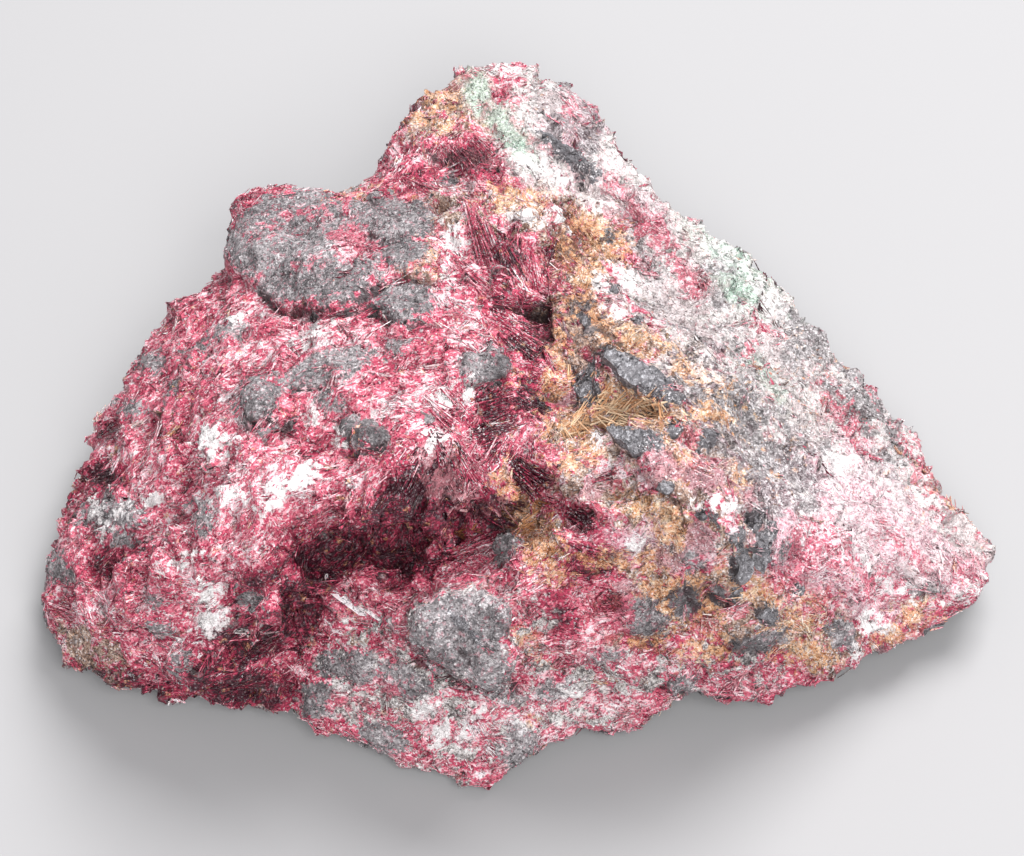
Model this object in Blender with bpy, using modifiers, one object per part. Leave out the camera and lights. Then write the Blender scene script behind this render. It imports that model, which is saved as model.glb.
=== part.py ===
"""Roselite specimen: one broken lump of ore rock, 98 mm across, with cobalt-red blades grown in its cleft.

The whole specimen grew together, so it is one closed solid that rests on a broken flat of its underside.
It is shaped in its show frame, in millimetres: across runs to the right, up runs up the show side, and out
runs towards an eye that looks down on the lump at SHOW_TILT from EYE_DISTANCE. A landmark or an outline
point is written where that eye sees it on the plane through the show centre.
"""

import math
import random

import bmesh
import bpy
import numpy as np
from mathutils import Matrix, Vector

MM = 0.001
SEED = 27

# Driving dimensions, in millimetres and degrees
SHOW_TILT = 50.0
EYE_DISTANCE = 310.0
CENTRE_HEIGHT = 24.0
MEAN_REACH = 40.0
MEAN_HALF_THICKNESS = 15.0
EDGE_SQUARENESS = 4.5
LEAST_HALF_THICKNESS = 1.2
LEAST_WALL_UNDER_A_GAP = 3.0
BALL_SUBDIVISIONS = 6
CELL = 0.65
TRIANGLES_OF_THE_BARE_LUMP = 7050

# The edge of the lump as the eye sees it, anticlockwise from the nose on the right: (across, up)
OUTLINE = [
    (47.7, -11.6), (46.0, -8.8), (43.7, -6.7), (42.0, -5.0), (41.2, -2.9), (39.1, 0.8), (35.0, 4.6),
    (32.6, 5.8), (31.6, 8.2), (29.0, 11.4), (23.0, 16.9), (19.6, 19.3), (19.2, 20.5), (17.4, 20.9),
    (15.5, 22.1), (12.7, 25.7), (9.1, 29.3), (8.7, 31.7), (7.7, 33.3), (6.1, 34.4), (3.2, 35.6),
    (-1.1, 36.2), (-3.1, 36.5), (-5.9, 35.3), (-6.2, 34.2), (-8.1, 33.4), (-10.9, 30.1), (-13.6, 25.7),
    (-15.0, 24.1), (-17.4, 23.0), (-19.3, 23.2), (-21.9, 23.8), (-25.6, 24.0), (-27.1, 21.8),
    (-28.2, 17.8), (-29.4, 15.4), (-34.3, 11.1), (-37.2, 7.2), (-38.8, 5.1), (-39.8, 2.6), (-41.2, 1.0),
    (-41.7, -1.9), (-43.1, -5.7), (-44.9, -10.0), (-46.1, -12.4), (-47.2, -18.5), (-45.2, -22.6),
    (-43.8, -23.4), (-39.6, -25.5), (-36.0, -27.0), (-25.2, -29.2), (-21.4, -29.4), (-18.4, -31.0),
    (-15.0, -32.2), (-9.9, -35.4), (-3.6, -36.4), (-1.6, -36.8), (3.1, -35.3), (6.6, -32.9),
    (8.1, -32.6), (12.5, -32.6), (14.6, -30.3), (16.6, -27.4), (21.5, -27.8), (26.3, -27.5),
    (28.9, -26.2), (31.1, -25.1), (35.6, -24.8), (37.5, -22.5), (40.0, -21.6), (42.4, -19.5),
    (43.7, -19.7), (45.2, -17.4), (46.5, -15.8), (47.2, -15.4), (45.9, -13.5), (47.3, -12.6),
]

# The surface that the eye sees: (across, up, height above what the lump rests on)
SHOW_SIDE = [
    (-2, -35, 4), (12, -31, 6), (28, -25, 7), (40, -19, 8), (46, -12, 10), (38, 1, 12), (27, 12, 15),
    (18, 20, 17), (7, 31, 19), (-5, 34, 19), (-12, 26, 22), (-24, 22, 21), (-33, 10, 18), (-41, -2, 14),
    (-46, -17, 8), (-36, -25, 8), (-22, -28.5, 7), (-12, -33, 5), (-20, 0, 33), (-12, -7, 34),
    (-20, 15, 29), (-8, 12, 33), (3, 10, 31), (4, 0, 32), (14, 3, 35), (19, -10, 32), (8, -13, 29),
    (25, -5, 30), (28, 4, 22), (36, -8, 18), (16, 14, 27), (8, 21, 27), (0, 27, 25), (-30, -12, 26),
    (-37, -17, 19), (-26, -19, 21), (-4, -21, 21), (-12, -26, 15), (3, -28, 14), (18, -20, 20),
    (30, -18, 17), (-14, -16, 26), (-31, 2, 26),
]

# The surface behind it: the underside, which is cut level where it would pass below 0, and the back
FAR_SIDE = [
    (-44, -17, 1), (-43, -8, 1), (-30, -25, -1), (-15, -30, -1), (-2, -34, 0), (14, -29, -1),
    (28, -23, 0), (41, -17, 1), (47, -13, 3), (-30, -8, -4), (-15, -15, -4), (0, -18, -4), (15, -15, -4),
    (30, -8, -4), (0, 0, -4), (-25, 5, -4), (25, 2, -4), (0, 12, -4), (0, 20, -1), (0, 28, 5),
    (-3, 35, 10), (-24, 21, 7), (-33, 8, 2), (40, 0, 1), (30, 10, 2), (18, 19, 4), (8, 30, 9),
]

# Broken edges of layers: the path with its upper layer on the left hand, how far that layer stands
# proud, how deep the gap below it is, and how far each of the two reaches from the path
LEDGES = {
    "grey_slab": ([(-25, 13.3), (-22.2, 12.2), (-18.2, 11.6), (-15.7, 12.3), (-13.7, 14.1),
                   (-11.2, 15.0), (-8.2, 14.7)], 1.6, 1.2, 9.0, 2.5),
    "cleft_lip": ([(-24.5, -12.8), (-21.9, -11.2), (-17.0, -9.1), (-14.5, -7.5), (-13.5, -8.7),
                   (-11.7, -10.1), (-8.4, -8.3), (-4.3, -8.3), (-2.5, -6.7), (-0.9, -4.6),
                   (1.4, -1.0)], 1.0, 9.0, 5.0, 6.5),
    "boulder_foot": ([(-9.3, -24.1), (-7.5, -24.3), (-6.1, -24.7), (-4.4, -25.7), (-1.2, -26.1)],
                     0.3, 2.2, 3.0, 2.0),
    "front_layer": ([(10.4, -27.3), (13.0, -27.0), (15.9, -27.0)], 0.6, 1.2, 2.5, 1.5),
    "front_lip": ([(8.7, -30.6), (9.8, -29.7), (12.6, -29.4), (14.1, -28.6)], 0.4, 1.2, 1.5, 1.5),
    "nose_flake": ([(45.6, -13.4), (44.6, -11.2), (43.3, -7.7), (42.0, -5.0)], 0.4, 2.6, 2.0, 5.0),
    "left_undercut": ([(-39, -24.4), (-34, -25.0), (-29, -25.8), (-24, -27.0)], 0.3, 2.8, 2.0, 4.0),
    "left_recess": ([(-31.0, -24.4), (-28.0, -22.4), (-25.0, -20.0), (-23.7, -18.4)],
                    1.0, 2.2, 4.0, 4.0),
    "brown_wall": ([(3.6, 7.0), (3.4, 12.4), (5.0, 15.0)][::-1], 0.8, 3.2, 3.0, 3.0),
    "blade_crack": ([(-2.0, 13.2), (1.3, 12.0), (3.4, 11.2)], 0.8, 2.4, 2.0, 1.2),
    "brown_fold": ([(12.8, -6.2), (14.8, -7.5), (16.3, -8.4), (17.0, -9.7)], 0.5, 1.6, 2.5, 2.0),
    "vug_roof": ([(6.2, 3.2), (9.0, 3.6), (12.2, 2.6), (15.6, 1.6)], 0.3, 3.0, 1.5, 2.4),
}

# Lumps that stand proud and pits: (across, up), length, width, turn in degrees, and rise (a pit's is negative)
LUMPS = {
    "grey_boulder": ((-4.5, -21.0), 10.4, 8.4, -12, 3.0),
    "foot_slab": ((-13.0, -27.5), 11.0, 7.0, -20, 0.9),
    "round_knob": ((-10.7, 12.4), 6.5, 4.2, 10, 1.3),
    "ore_slab": ((12.9, 4.6), 8.8, 2.6, -33, 1.7),
    "ore_knob": ((7.6, 5.1), 2.8, 2.0, 20, 1.5),
    "ore_plate": ((12.5, -1.2), 5.6, 2.6, -10, 0.8),
    "ore_cluster": ((23.5, -12.7), 6.2, 3.4, 80, 1.1),
    "brown_knob": ((16.8, -17.3), 3.8, 3.2, 0, 1.1),
    "upper_ore": ((4.3, 28.0), 6.0, 2.2, -40, 0.8),
    "left_ore": ((-24.7, 2.8), 4.4, 2.8, -50, 0.9),
    "long_ore": ((-17.7, 5.8), 8.4, 2.6, 18, 0.9),
    "middle_ore": ((-13.7, -0.7), 5.2, 3.2, -15, 0.7),
    "ridge_ore": ((-3.2, 6.0), 5.0, 4.2, 0, 0.9),
    "cream_cube": ((3.0, 20.2), 3.0, 2.6, 10, 1.4),
    "left_pit": ((-39.8, -4.8), 3.0, 2.2, 0, -1.4),
    "ore_hole": ((8.0, 8.2), 2.6, 1.4, -10, -2.2),
    "red_gash": ((6.8, -9.3), 3.4, 1.4, -25, -1.6),
    "low_gash": ((8.9, -14.7), 3.0, 1.2, 10, -1.6),
    "brown_hole": ((20.8, -17.3), 1.8, 1.6, 0, -1.6),
    "orange_hollow": ((2.0, -8.6), 3.6, 4.6, 0, -2.4),
    "deep_left": ((-17.5, -12.4), 5.0, 1.8, 20, -2.2),
}

# Sprays of blades: root (across, up), how many, the way they lean (across, up, out), spread in degrees,
# blade length and width, and how far the roots scatter along and across the spray
SPRAYS = {
    "lip_plates": ((-11.6, -7.2), 8, (0.10, -1.0, 0.05), 14, 5.6, 3.2, (5.0, 0.8)),
    "lip_fan": ((-4.6, -4.2), 7, (0.20, -1.0, 0.05), 18, 6.4, 2.9, (3.4, 1.2)),
    "cleft_floor": ((-11.5, -14.4), 7, (0.45, -0.80, 0.30), 30, 4.8, 2.8, (6.0, 1.4)),
    "ridge_fan": ((0.0, 1.0), 7, (0.55, -0.80, 0.10), 20, 6.4, 2.6, (2.2, 3.0)),
    "crevice_fan": ((0.4, 15.0), 7, (0.35, -0.85, 0.20), 22, 6.8, 2.4, (2.6, 2.4)),
    "upper_fan": ((-3.4, 23.6), 6, (0.25, -0.85, 0.20), 26, 5.2, 2.4, (2.8, 2.4)),
    "left_fan": ((-22.6, -17.6), 6, (0.30, -0.75, 0.35), 30, 5.0, 2.6, (3.0, 2.4)),
    "left_edge_fan": ((-37.0, -12.0), 6, (0.60, 0.45, 0.05), 26, 5.6, 2.4, (3.4, 3.4)),
    "left_face_fan": ((-27.0, -4.0), 6, (0.85, 0.50, -0.10), 22, 6.0, 2.4, (4.0, 4.0)),
}
BLADE_SIDES = 6
BLADE_FLATNESS = 0.4
BLADE_TIP_SHARE = 0.35
BLADE_TIP_WIDTH = 0.35
BLADE_ROOT_DEPTH = 0.35
BLADE_TUMBLE = 0.45
BLADE_STRAY = 0.12

# Flakes that broke off all over: how many, and the least and most reach and depth of their flat scars
FLAKE_SCARS = 260
SCAR_REACH = (5.0, 13.0)
SCAR_DEPTH = (0.3, 1.3)
SCAR_FADE = 0.3
SCAR_LEAN = 0.2
RIM_STARTS_AT = 0.86
RIM_FIRMNESS = 0.85

ROCK_COLOUR = (0.36, 0.10, 0.15, 1.0)
ROCK_ROUGHNESS = 0.55

TILT = math.radians(SHOW_TILT)


def clear_scene():
    for thing in list(bpy.data.objects):
        bpy.data.objects.remove(thing)


def named_collection(name):
    collection = bpy.data.collections.new(name)
    bpy.context.scene.collection.children.link(collection)
    return collection


def rock_material():
    material = bpy.data.materials.new("red_and_grey_rock")
    material.use_nodes = True
    shader = material.node_tree.nodes["Principled BSDF"]
    shader.inputs["Base Color"].default_value = ROCK_COLOUR
    shader.inputs["Roughness"].default_value = ROCK_ROUGHNESS
    shader.inputs["Metallic"].default_value = 0.0
    return material


def smooth_step(value):
    """0 below 0, 1 above 1, and smooth between."""
    share = np.clip(value, 0.0, 1.0)
    return share * share * (3.0 - 2.0 * share)


def plate_kernel(distance):
    """The bending shape of a thin plate around one point."""
    return distance**2 * np.log(distance + 1e-9)


def plate_through(landmarks):
    """The height of a thin bent plate through (across, up, height) landmarks, as a function of place."""
    sites = np.array([point[:2] for point in landmarks], float)
    heights = np.array([point[2] for point in landmarks], float)
    count = len(sites)
    gaps = np.linalg.norm(sites[:, None] - sites[None], axis=2)
    level = np.hstack([np.ones((count, 1)), sites])
    system = np.zeros((count + 3, count + 3))
    system[:count, :count] = plate_kernel(gaps)
    system[:count, count:] = level
    system[count:, :count] = level.T
    weights = np.linalg.solve(system, np.append(heights, [0.0, 0.0, 0.0]))

    def height(across, up):
        distance = np.hypot(across[:, None] - sites[None, :, 0], up[:, None] - sites[None, :, 1])
        plane = weights[count] + weights[count + 1] * across + weights[count + 2] * up
        return plate_kernel(distance) @ weights[:count] + plane

    return height


def out_of_height(height, up):
    """How far towards the eye a point lies that is seen at this place and has this height."""
    return (height - CENTRE_HEIGHT - up * math.cos(TILT)) / (
        math.sin(TILT) - up * math.cos(TILT) / EYE_DISTANCE
    )


def edge_profile(turn):
    """Across the lump from its middle to its edge: the share of the reach, and of the half thickness,
    at each turn from the eye's axis. Equal turns of a ball take equal areas of the lump."""
    steps = np.linspace(0.0, math.pi / 2, 600)
    reach = np.sin(steps) ** (2.0 / EDGE_SQUARENESS)
    rise = np.cos(steps) ** (2.0 / EDGE_SQUARENESS)
    run = np.hypot(np.diff(reach) * MEAN_REACH, np.diff(rise) * MEAN_HALF_THICKNESS)
    area = np.append(0.0, np.cumsum(run * (reach[1:] + reach[:-1])))
    covered = (1.0 - np.cos(turn)) * area[-1]
    return np.interp(covered, area, reach), np.interp(covered, area, rise)


def reach_at(angle):
    """The outline's distance from the show centre in each direction."""
    corners = np.array(OUTLINE)
    angles = np.arctan2(corners[:, 1], corners[:, 0])
    order = np.argsort(angles)
    reaches = np.hypot(corners[:, 0], corners[:, 1])[order]
    return np.interp(angle, angles[order], reaches, period=2 * math.pi)


def beside_path(path, across, up):
    """The signed distance from a path, positive on its left hand, and the share of its length."""
    points = np.array(path, float)
    lengths = np.linalg.norm(np.diff(points, axis=0), axis=1)
    starts = np.append(0.0, np.cumsum(lengths))
    nearest = np.full(len(across), np.inf)
    signed = np.zeros(len(across))
    share = np.zeros(len(across))
    for start, end, length, begun in zip(points[:-1], points[1:], lengths, starts):
        along = (end - start) / length
        from_start = np.stack([across - start[0], up - start[1]], axis=1)
        run = np.clip(from_start @ along, 0.0, length)
        off = from_start - run[:, None] * along
        distance = np.hypot(off[:, 0], off[:, 1])
        closer = distance < nearest
        left = along[0] * from_start[:, 1] - along[1] * from_start[:, 0]
        nearest = np.where(closer, distance, nearest)
        signed = np.where(closer, np.copysign(distance, left), signed)
        share = np.where(closer, (begun + run) / starts[-1], share)
    return signed, share


def ledge_offset(across, up, path, rise, gap, reach_above, reach_below):
    """How a ledge moves the surface out: proud above its path, and a gap that runs out below it."""
    edge_width = 0.6
    fading_share = 0.12
    beside, share = beside_path(path, across, up)
    ends = smooth_step(np.minimum(share, 1.0 - share) / fading_share)
    above = smooth_step(beside / edge_width + 0.5)
    proud = rise * above * np.exp(-((np.maximum(beside, 0.0) / reach_above) ** 2))
    sunk = gap * (1.0 - above) * np.exp(-((np.minimum(beside, 0.0) / reach_below) ** 2))
    return (proud - sunk) * ends


def lump_offset(across, up, centre, length, width, turn, rise):
    """A flat-topped lump with steep sides, or a pit."""
    side_share = 0.34
    angle = math.radians(turn)
    along = (across - centre[0]) * math.cos(angle) + (up - centre[1]) * math.sin(angle)
    beside = (up - centre[1]) * math.cos(angle) - (across - centre[0]) * math.sin(angle)
    radius = np.hypot(along * 2 / length, beside * 2 / width)
    return rise * smooth_step((1.0 + side_share / 2 - radius) / side_share)


def to_world(across, up, out):
    """Show-frame places to world millimetres, with the lump standing on 0."""
    spread = 1.0 - out / EYE_DISTANCE
    return np.stack(
        [
            across * spread,
            up * spread * math.sin(TILT) - out * math.cos(TILT),
            CENTRE_HEIGHT + up * spread * math.cos(TILT) + out * math.sin(TILT),
        ],
        axis=1,
    )


def any_way(dice):
    """A short arrow that points anywhere."""
    return Vector((dice.gauss(0, 1), dice.gauss(0, 1), dice.gauss(0, 1)))


def chip_flakes(places, facing, firm, dice):
    """Knocks flat scars into the surface. Firm points, such as those on the outline, hardly move."""
    for _ in range(FLAKE_SCARS):
        picked = dice.randrange(len(places))
        normal = np.array((Vector(facing[picked]) + any_way(dice) * SCAR_LEAN).normalized())
        reach = dice.uniform(*SCAR_REACH)
        floor = places[picked] @ normal - dice.uniform(*SCAR_DEPTH)
        proud = places @ normal - floor
        near = smooth_step((1.0 - np.linalg.norm(places - places[picked], axis=1) / reach) / SCAR_FADE)
        cut = np.maximum(proud, 0.0) * near * (1.0 - firm)
        places -= cut[:, None] * normal
    return places


def relief(across, up):
    """How far the ledges, lumps and pits move the show side out."""
    moved = np.zeros(len(across))
    for ledge in LEDGES.values():
        moved += ledge_offset(across, up, *ledge)
    for lump in LUMPS.values():
        moved += lump_offset(across, up, *lump)
    return moved


def bare_lump(material):
    """The lump without its blades: a ball whose points are moved onto the show side and the far side."""
    mesh = bpy.data.meshes.new("roselite_rock")
    shape = bmesh.new()
    bmesh.ops.create_icosphere(shape, subdivisions=BALL_SUBDIVISIONS, radius=1.0)
    ball = np.array([vertex.co for vertex in shape.verts])
    angle = np.arctan2(ball[:, 1], ball[:, 0])
    to_eye = np.clip(ball[:, 2], -1.0, 1.0)
    reach, rise = edge_profile(np.arccos(np.abs(to_eye)))
    rise = np.copysign(rise, to_eye)

    across = reach * reach_at(angle) * np.cos(angle)
    up = reach * reach_at(angle) * np.sin(angle)
    show = out_of_height(plate_through(SHOW_SIDE)(across, up), up)
    far = out_of_height(plate_through(FAR_SIDE)(across, up), up)
    half = np.maximum((show - far) / 2, LEAST_HALF_THICKNESS)
    places = to_world(across, up, (show + far) / 2 + half * rise)
    for vertex, place in zip(shape.verts, places):
        vertex.co = place
    shape.normal_update()

    facing = np.array([vertex.normal for vertex in shape.verts])
    firm = RIM_FIRMNESS * smooth_step((reach - RIM_STARTS_AT) / (1.0 - RIM_STARTS_AT))
    deepest_gap = np.maximum(half * (1.0 + rise) - LEAST_WALL_UNDER_A_GAP, 0.5)
    places = chip_flakes(places, facing, firm, random.Random(SEED))
    moved = np.maximum(relief(across, up), -deepest_gap) * smooth_step(rise * 3.0 - 0.75)
    to_the_eye = np.array([0.0, -math.cos(TILT), math.sin(TILT)])
    places += moved[:, None] * to_the_eye

    for vertex, place in zip(shape.verts, places):
        vertex.co = Vector(place) * MM
    shape.to_mesh(mesh)
    shape.free()
    lump = bpy.data.objects.new("roselite_rock", mesh)
    mesh.materials.append(material)
    return lump


def bake_modifiers(thing):
    """Keeps what the modifiers make as the object's own mesh."""
    bpy.context.view_layer.update()
    graph = bpy.context.evaluated_depsgraph_get()
    made = bpy.data.meshes.new_from_object(thing.evaluated_get(graph))
    thing.modifiers.clear()
    thing.data = made


def even_out(lump):
    """One clean skin of even cells, then fewer and larger triangles where the lump is flat."""
    cells = lump.modifiers.new("even_cells", "REMESH")
    cells.mode = "VOXEL"
    cells.voxel_size = CELL * MM
    bake_modifiers(lump)
    triangles_now = 2 * len(lump.data.polygons)
    fewer = lump.modifiers.new("fewer_faces", "DECIMATE")
    fewer.ratio = TRIANGLES_OF_THE_BARE_LUMP / triangles_now
    bake_modifiers(lump)


def level_underside(lump):
    """Breaks the underside off level at 0, which leaves the flat that the lump rests on."""
    shape = bmesh.new()
    shape.from_mesh(lump.data)
    whole = [*shape.verts, *shape.edges, *shape.faces]
    cut = bmesh.ops.bisect_plane(
        shape, geom=whole, plane_co=(0, 0, 0), plane_no=(0, 0, -1), clear_outer=True
    )
    rim = [piece for piece in cut["geom_cut"] if isinstance(piece, bmesh.types.BMEdge)]
    bmesh.ops.holes_fill(shape, edges=rim, sides=0)
    bmesh.ops.triangulate(shape, faces=shape.faces[:])
    shape.to_mesh(lump.data)
    shape.free()


def add_blade(shape, root, way, flat_side, length, width):
    """One flat pointed crystal: a six-sided prism, with a tapered tip, that starts inside the rock.
    Its broad side looks the way of flat_side."""
    body = length * (1.0 - BLADE_TIP_SHARE)
    tip = length * BLADE_TIP_SHARE
    thin = (flat_side - way * flat_side.dot(way)).normalized()
    turn = Matrix((thin.cross(way), thin, way)).transposed()
    flatten = Matrix.Diagonal((1.0, BLADE_FLATNESS, 1.0))
    rings = [(0.0, 0.85), (body, 1.0), (body + tip, BLADE_TIP_WIDTH)]
    loops = []
    for height, share in rings:
        loop = []
        for side in range(BLADE_SIDES):
            angle = 2 * math.pi * side / BLADE_SIDES
            edge = Vector((math.cos(angle), math.sin(angle), 0)) * width / 2 * share
            loop.append(shape.verts.new(Vector(root) + turn @ (flatten @ edge + Vector((0, 0, height)))))
        loops.append(loop)
    for low, high in zip(loops[:-1], loops[1:]):
        for side in range(BLADE_SIDES):
            following = (side + 1) % BLADE_SIDES
            shape.faces.new((low[side], low[following], high[following], high[side]))
    shape.faces.new(loops[0][::-1])
    shape.faces.new(loops[-1])


def surface_seen_at(lump, across, up):
    """Where the eye's line of sight through this place of the show frame meets the lump, in metres, and
    the way the lump faces there."""
    eye = Vector(to_world(np.zeros(1), np.zeros(1), np.array([EYE_DISTANCE]))[0]) * MM
    aim = Vector(to_world(np.array([across]), np.array([up]), np.zeros(1))[0]) * MM
    _, place, facing, _ = lump.ray_cast(eye, (aim - eye).normalized())
    return place, facing


def spray_of_blades(name, lump, root, count, lean, spread, length, width, scatter, dice):
    """One object for each blade of a spray, rooted in the lump."""
    axes = Matrix(
        ((1, 0, 0), (0, math.sin(TILT), -math.cos(TILT)), (0, math.cos(TILT), math.sin(TILT)))
    )
    blades = []
    for number in range(count):
        share = (number + 0.5) / count - 0.5
        across = root[0] + 2 * share * scatter[0]
        up = root[1] + dice.uniform(-1, 1) * scatter[1]
        fan = math.radians(spread)
        way = Vector(lean) + Vector((2 * share * math.tan(fan), 0, 0))
        way += any_way(dice) * BLADE_STRAY
        way = (axes @ way).normalized()
        place, facing = surface_seen_at(lump, across, up)
        long = length * dice.uniform(0.75, 1.15) * MM
        wide = width * dice.uniform(0.75, 1.2) * MM
        shape = bmesh.new()
        start = place - way * long * BLADE_ROOT_DEPTH
        add_blade(shape, start, way, facing + any_way(dice) * BLADE_TUMBLE, long, wide)
        bmesh.ops.recalc_face_normals(shape, faces=shape.faces)
        mesh = bpy.data.meshes.new(f"{name}_{number}")
        shape.to_mesh(mesh)
        shape.free()
        blades.append(bpy.data.objects.new(f"{name}_{number}", mesh))
    return blades


def grow_blades(lump, cutters):
    """Fuses every spray to the lump, so that rock and blades are one body."""
    dice = random.Random(SEED)
    grown = []
    for name, spray in SPRAYS.items():
        grown += spray_of_blades(name, lump, *spray, dice)
    for blade in grown:
        blade.hide_render = True
        blade.display_type = "WIRE"
        cutters.objects.link(blade)
        union = lump.modifiers.new(blade.name, "BOOLEAN")
        union.operation = "UNION"
        union.object = blade
        union.solver = "EXACT"
    bake_modifiers(lump)
    for blade in grown:
        bpy.data.objects.remove(blade)


def keep_outer_skin(lump):
    """Fills the small gaps that are shut in between blades and rock, by keeping the outermost skin only."""
    shape = bmesh.new()
    shape.from_mesh(lump.data)
    unseen = set(shape.verts)
    skins = []
    while unseen:
        skin = {unseen.pop()}
        edge_of_skin = set(skin)
        while edge_of_skin:
            linked = {edge.other_vert(vertex) for vertex in edge_of_skin for edge in vertex.link_edges}
            edge_of_skin = linked - skin
            skin |= edge_of_skin
        unseen -= skin
        skins.append(skin)
    skins.sort(key=len)
    inner = [vertex for skin in skins[:-1] for vertex in skin]
    bmesh.ops.delete(shape, geom=inner, context="VERTS")
    shape.to_mesh(lump.data)
    shape.free()


def stand_on_origin(lump):
    """Puts the middle of the lump's box over the origin, with its flat on 0."""
    corners = [Vector(corner) for corner in lump.bound_box]
    low = Vector(map(min, zip(*corners)))
    high = Vector(map(max, zip(*corners)))
    middle = (low + high) / 2
    lump.data.transform(Matrix.Translation((-middle.x, -middle.y, -low.z)))


def main():
    clear_scene()
    specimen = named_collection("roselite_specimen")
    cutters = named_collection("blades_to_fuse")
    lump = bare_lump(rock_material())
    specimen.objects.link(lump)
    even_out(lump)
    level_underside(lump)
    bpy.context.view_layer.update()
    grow_blades(lump, cutters)
    keep_outer_skin(lump)
    stand_on_origin(lump)


main()
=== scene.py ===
"""The looks of a roselite specimen: a broken lump of ore rock, 98 mm across.

The rock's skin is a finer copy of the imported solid, with broken facets pushed in by one Geometry Nodes
tree. Sprays of crimson, rose and pale blades, ochre fibres and grains of the stony minerals are laid on
the skin by another. Where each mineral shows is written as ellipses, in pixels of the 1024 x 856
photograph. They are thrown onto the rock from the photograph's eye. Sides that it doesn't show follow
slow noise.
"""

import math

import bmesh
import bpy
import numpy as np
from mathutils import Matrix, Vector, noise
from mathutils.bvhtree import BVHTree

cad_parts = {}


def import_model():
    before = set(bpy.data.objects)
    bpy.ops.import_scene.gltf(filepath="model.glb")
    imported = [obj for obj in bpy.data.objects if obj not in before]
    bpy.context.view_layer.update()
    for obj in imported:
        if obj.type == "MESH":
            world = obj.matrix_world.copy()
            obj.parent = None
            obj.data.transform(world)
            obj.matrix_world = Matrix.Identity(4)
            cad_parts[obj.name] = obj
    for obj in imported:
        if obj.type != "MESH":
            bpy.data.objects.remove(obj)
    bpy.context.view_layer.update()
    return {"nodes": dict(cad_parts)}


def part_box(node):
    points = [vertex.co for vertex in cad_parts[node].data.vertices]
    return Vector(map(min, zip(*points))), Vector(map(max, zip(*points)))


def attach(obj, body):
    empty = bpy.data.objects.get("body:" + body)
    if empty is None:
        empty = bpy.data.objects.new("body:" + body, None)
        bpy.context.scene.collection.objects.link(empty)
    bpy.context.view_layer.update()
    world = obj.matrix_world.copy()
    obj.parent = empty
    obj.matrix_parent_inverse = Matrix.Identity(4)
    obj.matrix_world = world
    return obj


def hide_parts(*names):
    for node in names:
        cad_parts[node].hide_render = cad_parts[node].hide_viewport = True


MM = 0.001
SEED = 11

# The photograph's eye: it looks down on the show centre, and a pixel there is a tenth of a millimetre
PICTURE_WIDTH = 1024
PICTURE_CENTRE = (512, 428)
PIXELS_PER_MM = 10
PIXEL = MM / PIXELS_PER_MM
SHOW_TILT = math.radians(50)
EYE_DISTANCE = 310 * MM
SHOW_CENTRE = Vector((-0.496, -18.07, 24.0)) * MM
SENSOR_WIDTH = 36
NEAREST_SHOWN = 0.01
MOST_BOUNCES = 1
TO_EYE = Vector((0, -math.cos(SHOW_TILT), math.sin(SHOW_TILT)))
ACROSS = Vector((1, 0, 0))
UP = Vector((0, math.sin(SHOW_TILT), math.cos(SHOW_TILT)))

# The skin
SKIN_CELL = 0.50 * MM
STEP_EDGE = 0.45
CRACK_DEPTH = 0.5 * MM
CRACK_EDGE = 0.3
LUMP_FLATS = 9
LUMP_FLAT_REACH = (0.45, 0.80)
LUMP_SMOOTHNESS = 4
LONGEST_PLATE_EDGE = 0.3 * MM
RAGGED_EDGE = 0.45 * MM
RAGGED_SHARE = 0.35
# A plate's depth under its middle, the height of its top and how much smaller that is, as shares
PLATE_ROOT = 0.6
PLATE_TOP = (0.25, 0.5)
TOP_LENGTH = 0.96
TOP_WIDTH = 0.93
FACET_SHIFT = 7.3
STILL_BELOW = 0.4 * MM
MOVES_ABOVE = 1.6 * MM
LOWEST_PIECE = 0.5 * MM
BOX_SLACK = 0.6 * MM

# Depths inside a mineral, in millimetres, go no further than this either way
MOST_DEPTH = 1.5
# A surface counts as one that the photograph shows from this cosine on, and fully after this much more
SEEN_FROM = -0.05
SEEN_OVER = 0.25
NOISE_GAIN = 1.6
# The noises of the hidden sides are read at places that lie this far apart
NOISE_STEP = 7.3
CRACK_NOISE = 33.0
GRAIN_NOISE = 91.0
HIDDEN_CRACK_SIZE = 5 * MM
HIDDEN_CRACK_BREADTH = 0.3
HIDDEN_CRACK_STEEPNESS = 5.0
HIDDEN_GRAIN_SIZE = 15 * MM
HIDDEN_GRAIN_TURN = 3.0
# How the markers of the blades' way fade with distance, in pixels
MARKER_CORE = 200.0
MARKER_FALL = 1.5

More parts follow.
